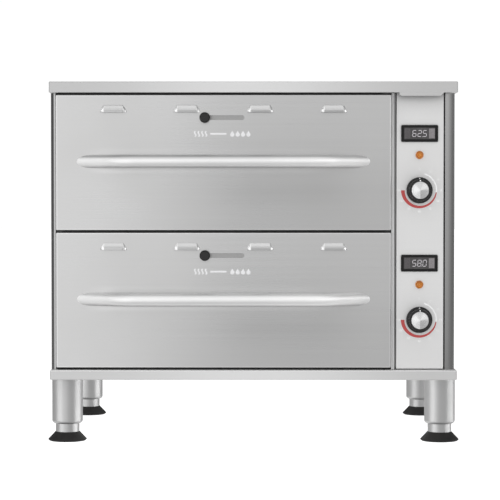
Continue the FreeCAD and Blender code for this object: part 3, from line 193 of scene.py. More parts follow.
def brushed(name, tone, grain, rough, stretch=0.55, vary=0.06, warm=0.0, cut=0.10, coarse=0.5, wear_and_highlight=0.12, middle=0.0, tilt=0.0, nook=0.0,
            lower_painted_shade=0.0, painted_light_heights=None, louvre=None, slope=None, rim=None, lip=None, bar=None, crest=None):
    """Brushed stainless sheet: long grain lines one way, rolled cloudiness, edges rubbed brighter and painted brighter
    as highlights, and painted highlights and painted shade where the optional arguments ask.
    """
    f = Finish(name)
    fine, wide = (1100.0, 1100.0, 1100.0), (130.0, 130.0, 130.0)
    along = "xyz".index(grain)
    fine = tuple(3.0 if i == along else v for i, v in enumerate(fine))
    wide = tuple(0.8 if i == along else v for i, v in enumerate(wide))
    lines = f.noise(fine, 5.0, 0.7)
    bands = f.noise(wide, 3.0, 0.6, (3.1, 1.7, 0.4))
    cloud = f.noise((5.0, 5.0, 5.0), 3.0, 0.5, (0.2, 4.0, 1.0))
    both = f.math("ADD", f.math("MULTIPLY", lines, 1.0 - coarse), f.math("MULTIPLY", bands, coarse))
    colour = f.blend(f.span(both, 0.30, 0.70, 0.0, 1.0), grey(tone * (1 - vary), warm), grey(tone * (1 + vary), warm))
    colour = f.blend(f.span(cloud, 0.35, 0.70, 0.0, 0.5), colour, grey(tone * 0.97, warm + 0.006))
    # Painted highlight: lighter towards the middle of the strip, with a painted light gradient from darker on the left
    # to lighter on the right.
    if middle:
        split = f.add("ShaderNodeSeparateXYZ")
        f.link(f.place, split.inputs[0])
        near = f.add("ShaderNodeMapRange", interpolation_type="SMOOTHSTEP")
        f.link(f.math("ABSOLUTE", split.outputs[0]), near.inputs["Value"])
        for key, v in (("From Min", 0.02), ("From Max", 0.34), ("To Min", 1.0), ("To Max", 0.0)):
            near.inputs[key].default_value = v
        colour = f.blend(near.outputs[0], colour, grey(tone * (1 + middle), warm))
        across = f.blend(f.span(split.outputs[0], -0.37, 0.37, 0.0, 1.0), grey(1 - tilt), grey(1 + tilt))
        colour = f.blend(1.0, colour, across, "MULTIPLY")
    # Painted shade: darker towards the bottom.
    if lower_painted_shade:
        split = f.add("ShaderNodeSeparateXYZ")
        f.link(f.place, split.inputs[0])
        low = f.span(split.outputs[2], 0.14, 0.62, 1.0 - lower_painted_shade, 1.0)
        colour = f.blend(low, grey(0.0), colour)
    # Painted light over each drawer front: lighter towards the top on the right, and painted shade in a band below the
    # handle towards the right.
    if painted_light_heights:
        split = f.add("ShaderNodeSeparateXYZ")
        f.link(f.place, split.inputs[0])
        x, t = split.outputs[0], f.span(split.outputs[2], painted_light_heights[0], painted_light_heights[1], 0.0, 1.0)
        lift = f.math("MULTIPLY", f.steps(t, ((0.0, 0.03), (0.11, 0.04), (0.29, 0.04), (0.42, 0.07), (0.59, 0.11), (1.0, 0.14))),
                      f.smooth(x, -0.262, -0.115))
        dip = f.math("MULTIPLY", f.steps(t, ((0.0, 0.02), (0.11, 0.045), (0.29, 0.11), (0.42, 0.07), (0.59, 0.03), (1.0, 0.0))),
                     f.math("MULTIPLY", f.smooth(x, -0.115, 0.015), f.smooth(x, 0.235, 0.100)))
        level = f.math("SUBTRACT", f.math("ADD", lift, 1.0), dip)
        # Painted highlight about the height of the handle, lifting the front beside it.
        near = f.math("MULTIPLY", f.steps(f.span(t, 0.38, 0.64, 0.0, 1.0), ((0.0, 0.0), (0.10, 0.0), (0.25, 0.17), (0.69, 0.17), (0.77, 0.08), (0.92, 0.0))),
                      f.math("MULTIPLY", f.smooth(x, -0.315, -0.262), f.smooth(x, 0.195, 0.085)))
        level = f.math("ADD", level, near)
        shade = f.add("ShaderNodeCombineColor")
        for k in range(3):
            f.link(level, shade.inputs[k])
        colour = f.blend(1.0, colour, shade.outputs[0], "MULTIPLY")
    if louvre is not None:
        # Painted light on the pressed louvres: painted highlight on the hood and both ends, brightest where an end
        # faces right, and painted shade towards the front lip.
        split = f.add("ShaderNodeSeparateXYZ")
        f.link(f.place, split.inputs[0])
        turn = f.vector("DOT_PRODUCT", f.normal, (1, 0, 0))
        level = f.steps(f.span(split.outputs[1], louvre, louvre - 0.006, 0.0, 1.0), ((0.0, 0.58), (0.5, 0.55), (0.8, 0.49), (1.0, 0.45)))
        left, right, tip = f.smooth(turn, -0.02, -0.16), f.smooth(turn, 0.12, 0.28), f.smooth(turn, 0.50, 0.62)
        level = f.math("ADD", f.math("MULTIPLY", level, f.math("SUBTRACT", 1.0, left)), f.math("MULTIPLY", left, 0.76))
        level = f.math("ADD", f.math("MULTIPLY", level, f.math("SUBTRACT", 1.0, right)), f.math("MULTIPLY", right, 0.70))
        level = f.math("ADD", f.math("MULTIPLY", level, f.math("SUBTRACT", 1.0, tip)), f.math("MULTIPLY", tip, 0.85))
        louvre_painted_light = f.add("ShaderNodeCombineColor")
        for k in range(3):
            f.link(level, louvre_painted_light.inputs[k])
        colour = f.blend(f.smooth(split.outputs[1], louvre - 0.0002, louvre - 0.0009), colour, louvre_painted_light.outputs[0])
    if rim is not None:
        # Painted highlight along the outline of a front.
        split = f.add("ShaderNodeSeparateXYZ")
        f.link(f.place, split.inputs[0])
        (x0, z0), (x1, z1) = rim
        sides = [f.smooth(split.outputs[k], at + 0.0034 * way, at + 0.0012 * way) for k, at, way in ((0, x0, 1), (0, x1, -1), (2, z0, 1), (2, z1, -1))]
        most = f.math("MAXIMUM", f.math("MAXIMUM", sides[0], sides[1]), f.math("MAXIMUM", sides[2], sides[3]))
        colour = f.blend(f.math("MULTIPLY", most, 0.6), colour, grey(min(tone * 1.45, 0.95)))
    if crest is not None:
        # Painted highlight along the top of a folded band.
        split = f.add("ShaderNodeSeparateXYZ")
        f.link(f.place, split.inputs[0])
        colour = f.blend(f.smooth(split.outputs[2], crest - 0.0022, crest - 0.0010), colour, grey(0.95))
    if lip is not None:
        # Painted highlight on a folded edge that stands forward of the rest, weaker towards the top.
        split = f.add("ShaderNodeSeparateXYZ")
        f.link(f.place, split.inputs[0])
        high = f.span(split.outputs[2], 0.47, 0.63, 1.0, 0.45)
        colour = f.blend(f.math("MULTIPLY", f.smooth(split.outputs[1], -0.240, -0.246), high), colour, grey(lip))
    if bar is not None:
        # Painted shade along the top and bottom of a bar, and painted light varying along its length.
        rise = f.vector("DOT_PRODUCT", f.normal, (0, 0, 1))
        painted_bar_shade = f.math("MAXIMUM", f.math("MULTIPLY", f.smooth(rise, 0.45, 0.75), bar), f.math("MULTIPLY", f.smooth(rise, -0.82, -0.97), 0.22))
        colour = f.blend(painted_bar_shade, colour, grey(0.0))
        split = f.add("ShaderNodeSeparateXYZ")
        f.link(f.place, split.inputs[0])
        painted_light_along = f.steps(f.span(split.outputs[0], -0.33, 0.22, 0.0, 1.0), ((0.0, 1.0), (0.085, 0.98), (0.14, 0.92), (0.26, 0.93), (0.42, 0.92),
                                                                          (0.59, 0.94), (0.74, 1.0), (0.86, 1.06), (0.93, 1.03), (1.0, 0.94)))
        colour = f.blend(1.0, colour, painted_light_along, "MULTIPLY")
    if slope is not None:
        # Painted shade on the bend at the front corner, darker than the open face.
        split = f.add("ShaderNodeSeparateXYZ")
        f.link(f.place, split.inputs[0])
        turn = f.vector("DOT_PRODUCT", f.normal, (1, 0, 0))
        colour = f.blend(f.math("MULTIPLY", f.smooth(turn, -0.25, -0.60), f.smooth(split.outputs[1], -0.222, -0.232)), colour, grey(slope, warm))
    # Painted shade in recesses: darker where nearby parts close over the surface, as under the top's lip and round the
    # knobs, strongest near the top and none near the bottom.
    if nook:
        split = f.add("ShaderNodeSeparateXYZ")
        f.link(f.place, split.inputs[0])
        open_sky = f.add("ShaderNodeAmbientOcclusion", samples=8)
        open_sky.inputs["Distance"].default_value = 0.045
        close = f.math("SUBTRACT", 1.0, f.math("POWER", open_sky.outputs["AO"], nook))
        close = f.math("MULTIPLY", close, f.math("MULTIPLY", f.span(split.outputs[2], 0.54, 0.60, 0.4, 1.0), f.smooth(split.outputs[2], 0.15, 0.19)))
        colour = f.blend(close, colour, grey(0.0))
    # Edges rubbed brighter; the larger amount given to the shell and base also paints highlights on their edges.
    worn = f.edges(0.0012)
    colour = f.blend(f.math("MULTIPLY", worn, f.span(bands, 0.25, 0.7, 0.3, 1.0)), colour, grey(min(tone * (1 + wear_and_highlight), 0.95), warm))
    r = f.math("ADD", f.span(both, 0.25, 0.75, rough - 0.05, rough + 0.05), f.span(cloud, 0.3, 0.7, -0.025, 0.025))
    f.set(Base_Color=colour, Metallic=1.0, Roughness=f.math("SUBTRACT", r, f.math("MULTIPLY", worn, 0.08)),
          Anisotropic=stretch, Tangent=f.vector("CROSS_PRODUCT", f.normal, GRAIN[grain]),
          Normal=f.bump(lines, cut, 0.00006, f.bump(bands, cut * 0.35, 0.00025)))
    return f.material


def turned(name, tone, rough, stretch=0.3, vary=0.02, cut=0.05):
    """Tube polished as it turns on an upright axis: fine rings round it."""
    f = Finish(name)
    rings = f.noise((3.0, 3.0, 2600.0), 4.0, 0.7)
    bands = f.noise((2.0, 2.0, 190.0), 3.0, 0.6, (1.0, 2.0, 0.7))
    cloud = f.noise((14.0, 14.0, 14.0), 3.0, 0.5)
    both = f.math("ADD", f.math("MULTIPLY", rings, 0.8), f.math("MULTIPLY", bands, 0.2))
    colour = f.blend(f.span(both, 0.3, 0.7, 0.0, 1.0), grey(tone * (1 - vary)), grey(tone * (1 + vary)))
    # Painted light on the legs by the controls: lighter on the inner side and painted shade on the outer.
    split = f.add("ShaderNodeSeparateXYZ")
    f.link(f.place, split.inputs[0])
    turn = f.vector("DOT_PRODUCT", f.normal, (1, 0, 0))
    there = f.smooth(split.outputs[0], 0.10, 0.20)
    colour = f.blend(f.math("MULTIPLY", there, f.smooth(turn, 0.05, -0.35)), colour, grey(tone * 1.14))
    colour = f.blend(f.math("MULTIPLY", there, f.smooth(turn, 0.30, 0.60)), colour, grey(tone * 0.74))
    worn = f.edges(0.0010)
    colour = f.blend(worn, colour, grey(min(tone * 1.15, 0.95)))
    round_it = f.vector("CROSS_PRODUCT", GRAIN["z"], f.normal)
    f.set(Base_Color=colour, Metallic=1.0, Anisotropic=stretch,
          Roughness=f.math("ADD", f.span(both, 0.25, 0.75, rough - 0.04, rough + 0.04), f.span(cloud, 0.3, 0.7, -0.03, 0.03)),
          Tangent=f.vector("CROSS_PRODUCT", f.normal, round_it),
          Normal=f.bump(rings, cut, 0.00003))
    return f.material


def gap_painted_shade(f, colour):
    """Painted shade: edges that face the front at the mouth of a bay are painted dark, so the gaps in front of them
    read dark.
    """
    split = f.add("ShaderNodeSeparateXYZ")
    f.link(f.place, split.inputs[0])
    ahead = f.smooth(f.vector("DOT_PRODUCT", f.normal, (0, -1, 0)), 0.70, 0.90)
    return f.blend(f.math("MULTIPLY", ahead, f.smooth(split.outputs[1], -0.2255, -0.2268)), colour, grey(0.11))


def mill(name, tone, rough, warm=0.01, stain=(0.40, 0.37, 0.33), amount=0.10, mouth=False):
    """Plain rolled or plated sheet: cloudy, faintly mottled, with handling marks."""
    f = Finish(name)
    grain = f.noise((260.0, 260.0, 260.0), 3.0, 0.6)
    cloud = f.noise((7.0, 7.0, 7.0), 4.0, 0.6, (2.0, 0.3, 0.8), 0.6)
    marks = f.noise((60.0, 9.0, 24.0), 5.0, 0.7, (0.4, 0.9, 3.0), 1.2)
    colour = f.blend(f.span(grain, 0.3, 0.7, 0.0, 1.0), grey(tone * 0.95, warm), grey(tone * 1.05, warm))
    colour = f.blend(f.span(cloud, 0.48, 0.75, 0.0, amount), colour, stain)
    worn = f.edges(0.0010)
    colour = f.blend(f.math("MULTIPLY", worn, 0.7), colour, grey(min(tone * 1.2, 0.95), warm))
    if mouth:
        # Painted shade on the front-facing edges at the bay mouth.
        colour = gap_painted_shade(f, colour)
    f.set(Base_Color=colour, Metallic=1.0,
          Roughness=f.math("ADD", f.span(cloud, 0.3, 0.7, rough - 0.05, rough + 0.05), f.span(marks, 0.5, 0.8, 0.0, 0.08)),
          Normal=f.bump(grain, 0.10, 0.00008, f.bump(marks, 0.06, 0.0002)))
    return f.material


def moulded(name, tone, rough, pebble=900.0, depth=0.00006, rubbed=0.09, dust=0.0, coat=0.0, shine=0.5):
    """Black moulded plastic or rubber: fine pebble, scuffs, edges rubbed grey, dust where asked."""
    f = Finish(name)
    fine = f.noise((pebble, pebble, pebble), 3.0, 0.5)
    patch = f.noise((70.0, 70.0, 70.0), 4.0, 0.6, (0.3, 0.7, 1.9))
    scuff = f.noise((420.0, 60.0, 300.0), 4.0, 0.7, (4.0, 1.0, 2.0), 0.8)
    colour = f.blend(f.span(patch, 0.35, 0.7, 0.0, 1.0), grey(tone * 0.85), grey(tone * 1.2, 0.02))
    colour = f.blend(f.span(scuff, 0.62, 0.80, 0.0, 0.35), colour, grey(tone * 2.2))
    worn = f.edges(0.0006)
    colour = f.blend(f.math("MULTIPLY", worn, f.span(patch, 0.3, 0.7, 0.2, 0.8)), colour, grey(rubbed))
    if dust:
        up = f.vector("DOT_PRODUCT", f.normal, (0, 0, 1))
        colour = f.blend(f.math("MULTIPLY", f.span(up, 0.2, 1.0, 0.0, dust), patch), colour, (0.30, 0.28, 0.26))
    f.set(Base_Color=colour, Coat_Weight=coat, Coat_Roughness=0.12, Specular_IOR_Level=shine,
          Roughness=f.math("ADD", f.span(patch, 0.3, 0.7, rough - 0.06, rough + 0.06), f.span(scuff, 0.6, 0.8, 0.0, 0.12)),
          Normal=f.bump(fine, 0.25, depth))
    return f.material


def ink(name, colour, other, rough=0.5):
    """Screen-printed ink: thin, slightly mottled, pinholed."""
    f = Finish(name)
    mottle = f.noise((900.0, 900.0, 900.0), 4.0, 0.6)
    holes = f.speck((1600.0, 1600.0, 1600.0))
    c = f.blend(f.span(mottle, 0.35, 0.70, 0.0, 1.0), colour, other)
    c = f.blend(f.span(holes, 0.0, 0.16, 0.5, 0.0), c, tuple(v * 0.8 for v in colour))
    f.set(Base_Color=c, Roughness=f.span(mottle, 0.3, 0.7, rough - 0.08, rough + 0.08), Normal=f.bump(mottle, 0.2, 0.00004))
    return f.material


def spun(name, centre):
    """Spun aluminium disc: lathe rings about its own middle, on a very shallow cone."""
    f = Finish(name)
    out = f.vector("SUBTRACT", f.place, centre)
    flat = f.vector("MULTIPLY", out, (1, 0, 1))
    reach = f.vector("LENGTH", flat, (0, 0, 0))
    ring = f.add("ShaderNodeTexNoise", noise_dimensions="1D")
    f.link(f.math("MULTIPLY", reach, 5200.0), ring.inputs["W"])
    ring.inputs["Scale"].default_value = 1.0
    ring.inputs["Detail"].default_value = 3.0
    lines = ring.outputs[0]
    smear = f.noise((60.0, 60.0, 60.0), 3.0, 0.5)
    colour = f.blend(f.span(lines, 0.3, 0.7, 0.0, 1.0), grey(0.88), grey(0.98))
    colour = f.blend(f.span(smear, 0.5, 0.75, 0.0, 0.4), colour, grey(0.84, 0.01))
    # Painted reflection: a grey wedge to the lower right of the cap and a paler grey patch near its top.
    split = f.add("ShaderNodeSeparateXYZ")
    f.link(flat, split.inputs[0])
    angle = f.math("ARCTAN2", split.outputs[0], split.outputs[2])
    colour = f.blend(f.math("MULTIPLY", f.smooth(angle, 1.15, 1.75), 0.85), colour, grey(0.52))
    colour = f.blend(f.math("MULTIPLY", f.smooth(f.math("ABSOLUTE", f.math("ADD", angle, 0.15)), 0.75, 0.30), 0.5), colour, grey(0.62))
    lean = f.vector("MULTIPLY", f.vector("NORMALIZE", flat, (0, 0, 0)), (0.16, 0.16, 0.16))
    cone = f.vector("NORMALIZE", f.vector("ADD", f.normal, lean), (0, 0, 0))
    f.set(Base_Color=colour, Metallic=1.0, Anisotropic=0.8, Tangent=flat,
          Roughness=f.span(lines, 0.2, 0.8, 0.22, 0.34), Normal=f.bump(lines, 0.12, 0.00005, cone))
    return f.material


def wool(name):
    """Mineral wool: yellow-brown tangled fibres in soft layers."""
    f = Finish(name)
    fibre = f.noise((900.0, 60.0, 900.0), 6.0, 0.75, (0, 0, 0), 2.0)
    layer = f.noise((12.0, 12.0, 90.0), 4.0, 0.6)
    c = f.blend(f.span(fibre, 0.3, 0.7, 0.0, 1.0), (0.42, 0.34, 0.16), (0.72, 0.63, 0.38))
    # Painted shade on the front-facing edges at the bay mouth.
    c = gap_painted_shade(f, f.blend(f.span(layer, 0.4, 0.7, 0.0, 0.5), c, (0.50, 0.42, 0.24)))
    f.set(Base_Color=c, Roughness=f.span(fibre, 0.3, 0.7, 0.85, 1.0), Sheen_Weight=0.1, Specular_IOR_Level=0.2, Normal=f.bump(fibre, 0.8, 0.0012))
    return f.material


def sheath(name):
    """Heating-element sheath: dark alloy with straw and blue heat tints along it."""
    f = Finish(name)
    tint = f.noise((9.0, 14.0, 9.0), 3.0, 0.5)
    grain = f.noise((500.0, 500.0, 500.0), 4.0, 0.6)
    c = f.blend(f.span(tint, 0.35, 0.65, 0.0, 1.0), (0.16, 0.14, 0.13), (0.24, 0.19, 0.13))
    c = f.blend(f.span(tint, 0.60, 0.75, 0.0, 0.6), c, (0.13, 0.14, 0.19))
    f.set(Base_Color=c, Metallic=1.0, Roughness=f.span(grain, 0.3, 0.7, 0.42, 0.58), Normal=f.bump(grain, 0.2, 0.0001))
    return f.material


def amber(name, deep, light, lit, coat=0.4):
    """Translucent amber lens, a little clouded, brighter where it is thin."""
    f = Finish(name)
    swirl = f.noise((260.0, 260.0, 260.0), 3.0, 0.5, (0, 0, 0), 0.6)
    c = f.blend(f.span(swirl, 0.3, 0.7, 0.0, 1.0), deep, light)
    f.set(Base_Color=c, Roughness=f.span(swirl, 0.3, 0.7, 0.20, 0.32), Transmission_Weight=0.25, IOR=1.49,
          Subsurface_Weight=0.3, Subsurface_Scale=0.002, Subsurface_Radius=(1.0, 0.45, 0.1),
          Emission_Color=c, Emission_Strength=lit, Coat_Weight=coat, Coat_Roughness=0.08,
          Normal=f.bump(swirl, 0.08, 0.0002))
    return f.material


def smoked(name):
    """Smoked acrylic window: near black, glossy, hairline scratches and a film of dust."""
    f = Finish(name)
    hair = f.noise((2600.0, 40.0, 160.0), 2.0, 0.5, (0, 0, 0), 0.4)
    film = f.noise((45.0, 45.0, 45.0), 4.0, 0.6, (0.6, 0.2, 0.1))
    c = f.blend(f.span(film, 0.35, 0.75, 0.0, 1.0), (0.020, 0.018, 0.019), (0.060, 0.056, 0.058))
    f.set(Base_Color=c, Roughness=f.math("ADD", f.span(film, 0.3, 0.7, 0.10, 0.20), f.span(hair, 0.66, 0.8, 0.0, 0.15)),
          Coat_Weight=0.5, Coat_Roughness=0.06, Normal=f.bump(hair, 0.05, 0.00003))
    return f.material


def glow(name, colour, dim, strength):
    """Lit display segment: even glow with a slightly brighter core."""
    f = Finish(name)
    core = f.noise((700.0, 700.0, 700.0), 2.0, 0.5)
    c = f.blend(f.span(core, 0.3, 0.7, 0.0, 1.0), dim, colour)
    f.set(Base_Color=c, Roughness=f.span(core, 0.3, 0.7, 0.25, 0.4), Emission_Color=c, Emission_Strength=strength)
    return f.material


def silicone(name):
    """Dark silicone seal: soft, matt, with a faint extrusion grain."""
    f = Finish(name)
    pull = f.noise((20.0, 900.0, 20.0), 3.0, 0.6)
    patch = f.noise((90.0, 90.0, 90.0), 3.0, 0.6)
    c = f.blend(f.span(patch, 0.35, 0.7, 0.0, 1.0), (0.042, 0.042, 0.043), (0.062, 0.062, 0.064))
    f.set(Base_Color=c, Roughness=f.span(patch, 0.3, 0.7, 0.55, 0.70), Specular_IOR_Level=0.25, Normal=f.bump(pull, 0.2, 0.0001))
    return f.material


KNOB = {n: sum(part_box(n + "_knob_cap"), Vector()) / 2 for n in DRAWERS}
STEEL_FRONT = {}
for n in DRAWERS:
    heights = [v[2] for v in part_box(n + "_drawer_front")]
    outline = [(v[0], v[2]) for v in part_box(n + "_drawer_front")]
    # Each front carries painted light and shade over its height, painted highlights on its outline and painted light on
    # its louvres.
    STEEL_FRONT[n] = brushed(n + "_front_brushed_steel", 0.515, "x", 0.30, stretch=0.4, vary=0.035, cut=0.10, painted_light_heights=heights,
                             louvre=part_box(n + "_drawer_front")[0][1] + 0.006, rim=outline)
# The top and base strips take lighter tones than the drawer fronts, and the side posts darker ones: painted light and
# shade for how each piece is lit.
STEEL_EDGE = brushed("shell_brushed_steel", 0.665, "x", 0.60, stretch=0.1, vary=0.035, cut=0.10, wear_and_highlight=0.30, middle=0.24, tilt=0.055)
STEEL_BASE = brushed("base_brushed_steel", 0.71, "x", 0.60, stretch=0.1, vary=0.035, cut=0.10, wear_and_highlight=0.30, middle=0.20, tilt=0.05,
                     crest=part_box("base_panel")[1][2])
STEEL_SIDE = brushed("side_brushed_steel", 0.46, "z", 0.40, stretch=0.4, vary=0.04, cut=0.12, lip=0.85)
STEEL_POST = brushed("post_brushed_steel", 0.45, "z", 0.24, stretch=0.2, vary=0.04, cut=0.12, lower_painted_shade=0.42)
STEEL_LEFT = brushed("left_post_brushed_steel", 0.43, "z", 0.28, stretch=0.1, vary=0.04, cut=0.12, slope=0.17)
STEEL_PANEL = brushed("panel_satin_steel", 0.90, "x", 0.58, stretch=0.2, vary=0.02, cut=0.06, nook=0.8)
STEEL_BACK = mill("back_rolled_steel", 0.66, 0.42, 0.004, (0.46, 0.45, 0.44), 0.25)
# Per-drawer amount of painted shade along the top of the handle.
STEEL_HANDLE = {n: brushed(n + "_handle_brushed_steel", 0.92, "x", 0.44, stretch=0.3, vary=0.02, cut=0.06, bar=painted_bar_shade)
                for n, painted_bar_shade in (("upper", 0.28), ("lower", 0.04))}
STEEL_LEG = turned("leg_turned_steel", 0.45, 0.43)
STEEL_LINER = mill("liner_rolled_steel", 0.62, 0.40, 0.003, (0.38, 0.375, 0.37))
STEEL_BAY = mill("bay_rolled_steel", 0.62, 0.40, 0.003, (0.38, 0.375, 0.37), mouth=True)
# The shutter's darker tone paints the shade inside the vent slot.
STEEL_SHUT = mill("shutter_rolled_steel", 0.40, 0.46, 0.004, (0.36, 0.36, 0.36), 0.2)
STEEL_PAN = mill("pan_bright_steel", 0.72, 0.26, 0.004, (0.50, 0.49, 0.48), 0.20)
ZINC = mill("zinc_plate", 0.60, 0.34, 0.012, (0.55, 0.52, 0.38), 0.35)
NICKEL = mill("plated_housing", 0.55, 0.38, 0.05, (0.42, 0.36, 0.26), 0.4)
BLACK = moulded("black_plastic", 0.016, 0.34, coat=0.15)
BEZEL = moulded("bezel_plastic", 0.006, 0.40, 1200.0, 0.00003, 0.02, shine=0.22)
KNOB_BLACK = moulded("knob_phenolic", 0.009, 0.28, 1400.0, 0.00003, 0.04, coat=0.12, shine=0.32)
RUBBER = moulded("foot_rubber", 0.008, 0.55, 600.0, 0.00012, 0.03, dust=0.10, shine=0.3)
WHITE_INK = ink("white_ink", (0.93, 0.93, 0.93), (0.99, 0.99, 0.99))
VENT_INK = ink("vent_ink", (0.72, 0.72, 0.73), (0.82, 0.82, 0.83))
RED_INK = ink("red_ink", (0.42, 0.045, 0.045), (0.47, 0.065, 0.06))
AMBER = amber("amber_lens", (0.52, 0.17, 0.015), (0.72, 0.28, 0.035), 0.10)
AMBER_DEEP = amber("amber_core", (0.22, 0.060, 0.006), (0.32, 0.095, 0.012), 0.02, 0.05)
WINDOW = smoked("smoked_window")
LIT = glow("display_lit", (0.52, 0.50, 0.52), (0.42, 0.40, 0.42), 0.20)
UNLIT = glow("display_unlit", (0.060, 0.053, 0.057), (0.045, 0.040, 0.043), 0.01)
FIELD = glow("display_field", (0.085, 0.078, 0.082), (0.055, 0.050, 0.053), 0.02)
FIELD_PALE = glow("display_pale_field", (0.25, 0.235, 0.24), (0.17, 0.158, 0.165), 0.03)

FINISHES = {
    "top_panel": STEEL_EDGE, "base_panel": STEEL_BASE, "left_side_panel": STEEL_LEFT, "right_side_panel": STEEL_POST,
    "back_panel": STEEL_BACK, "control_divider": STEEL_SIDE, "control_panel": STEEL_PANEL,
    "side_liners": STEEL_BAY, "back_liner": STEEL_LINER, "ceiling_liner": STEEL_BAY,
    "upper_heat_deck": STEEL_BAY, "lower_heat_deck": STEEL_BAY, "insulation_slabs": wool("mineral_wool"),
    "thermostats": NICKEL, "indicator_lamps": AMBER, "thermometer_housings": BEZEL, "terminal_block": BLACK,
    "cord_gland": BLACK, "thermometer_windows": WINDOW, "slide_outer_members": ZINC, "fasteners": ZINC,
    "leg_tubes": STEEL_LEG,
}
SHEATH, SILICONE = sheath("element_sheath"), silicone("silicone_seal")
for n in DRAWERS:
    FINISHES.update({
        n + "_heating_element": SHEATH, n + "_drawer_front": STEEL_FRONT[n], n + "_front_inner_panel": STEEL_LINER,
        n + "_drawer_frame": STEEL_LINER, n + "_front_insulation": FINISHES["insulation_slabs"],
        n + "_front_gasket": SILICONE, n + "_drawer_handle": STEEL_HANDLE[n], n + "_drawer_pan": STEEL_PAN,
        n + "_slide_inner_members": ZINC, n + "_slide_middle_members": ZINC, n + "_vent_shutter": STEEL_SHUT,
        n + "_vent_knob": KNOB_BLACK, n + "_knob": KNOB_BLACK, n + "_knob_cap": spun(n + "_spun_aluminium", KNOB[n]),
        n + "_thermostat_shaft": ZINC})
for n in ("front_left", "front_right", "rear_left", "rear_right"):
    FINISHES[n + "_foot_stem"] = STEEL_LEG
    FINISHES[n + "_foot_pad"] = RUBBER
for name, node in NODES.items():
    for slot in node.material_slots:
        slot.material = FINISHES[name]


# ----------------------------------------------------------------- mesh pieces
class Shape:
    """Collects closed solids, in millimetres, into one piece."""

    def __init__(self, *materials):
        self.bm = bmesh.new()
        self.materials = materials

    def plate(self, points, front, back, slot=0):
        """A flat outline in X and Z, given round it once, from its front to its back along Y."""
        area = sum(a[0] * b[1] - b[0] * a[1] for a, b in zip(points, points[1:] + points[:1]))
        if area < 0:
            points = points[::-1]
        a = [self.bm.verts.new((x * MM, front * MM, z * MM)) for x, z in points]
        b = [self.bm.verts.new((x * MM, back * MM, z * MM)) for x, z in points]
        faces = [self.bm.faces.new(a), self.bm.faces.new(b[::-1])]
        n = len(a)
        faces += [self.bm.faces.new((a[i], b[i], b[(i + 1) % n], a[(i + 1) % n])) for i in range(n)]
        for f in faces:
            f.material_index = slot
        return faces

    def strip(self, outer, inner, front, back, slot=0):
        """A band between two lines of X and Z points, such as an arc."""
        rows = []
        for (xo, zo), (xi, zi) in zip(outer, inner):
            rows.append([self.bm.verts.new((x * MM, y * MM, z * MM)) for x, z, y in
                         ((xo, zo, front), (xi, zi, front), (xi, zi, back), (xo, zo, back))])
        faces = []
        for a, b in zip(rows, rows[1:]):
            for k in range(4):
                faces.append(self.bm.faces.new((a[k], a[(k + 1) % 4], b[(k + 1) % 4], b[k])))
        faces += [self.bm.faces.new(rows[0][::-1]), self.bm.faces.new(rows[-1])]
        for f in faces:
            f.material_index = slot

    def lathe(self, profile, x, z, steps=64, slot=0):
        """A profile of (radius, Y) turned about the Y axis through x, z, closed at both ends on the axis."""
        rings = []
        for r, y in profile:
            if r < 1e-6:
                rings.append([self.bm.verts.new((x * MM, y * MM, z * MM))])
            else:
                rings.append([self.bm.verts.new(((x + r * math.cos(2 * math.pi * k / steps)) * MM, y * MM,
                                                 (z + r * math.sin(2 * math.pi * k / steps)) * MM)) for k in range(steps)])
        for a, b in zip(rings, rings[1:]):
            for k in range(steps):
                j = (k + 1) % steps
                if len(a) == 1:
                    f = self.bm.faces.new((a[0], b[j], b[k]))
                elif len(b) == 1:
                    f = self.bm.faces.new((a[k], a[j], b[0]))
                else:
                    f = self.bm.faces.new((a[k], a[j], b[j], b[k]))
                f.material_index = slot

    def figure(self, text, x, z, height, front, back, slot=0):
        """Plain numerals, upright, centred on x, z."""
        curve = bpy.data.curves.new("figure", "FONT")
        curve.body = text
        curve.align_x, curve.align_y = "CENTER", "CENTER"
        curve.size = height * MM / 0.70
        curve.extrude = (back - front) * MM / 2
        holder = bpy.data.objects.new("figure", curve)
        scene.collection.objects.link(holder)
        dg = bpy.context.evaluated_depsgraph_get()
        mesh = bpy.data.meshes.new_from_object(holder.evaluated_get(dg))
        before = len(self.bm.verts)
        count = len(self.bm.faces)
        self.bm.from_mesh(mesh)
        self.bm.verts.ensure_lookup_table()
        self.bm.faces.ensure_lookup_table()
        for v in self.bm.verts[before:]:
            u, w, d = v.co
            v.co = (x * MM + u, (front + back) / 2 * MM - d, z * MM + w)
        for f in self.bm.faces[count:]:
            f.material_index = slot
        bpy.data.objects.remove(holder)
        bpy.data.curves.remove(curve)
        bpy.data.meshes.remove(mesh)

    def piece(self, name, body, smooth=None):
        bmesh.ops.remove_doubles(self.bm, verts=self.bm.verts, dist=1e-7)
        bmesh.ops.recalc_face_normals(self.bm, faces=self.bm.faces)
        mesh = bpy.data.meshes.new(name)
        self.bm.to_mesh(mesh)
        self.bm.free()
        for m in self.materials:
            mesh.materials.append(m)
        if smooth is not None:
            mesh.shade_smooth()
            mesh.set_sharp_from_angle(angle=math.radians(smooth))
        ob = bpy.data.objects.new(name, mesh)
        scene.collection.objects.link(ob)
        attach(ob, body)
        return ob


def clock(x, z, r, degrees):
    """The point r from x, z, so many degrees clockwise from the top as seen from the front."""
    a = math.radians(degrees)
    return x + r * math.sin(a), z + r * math.cos(a)


def box_mm(node):
    lo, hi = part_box(node)
    return [v / MM for v in lo], [v / MM for v in hi]


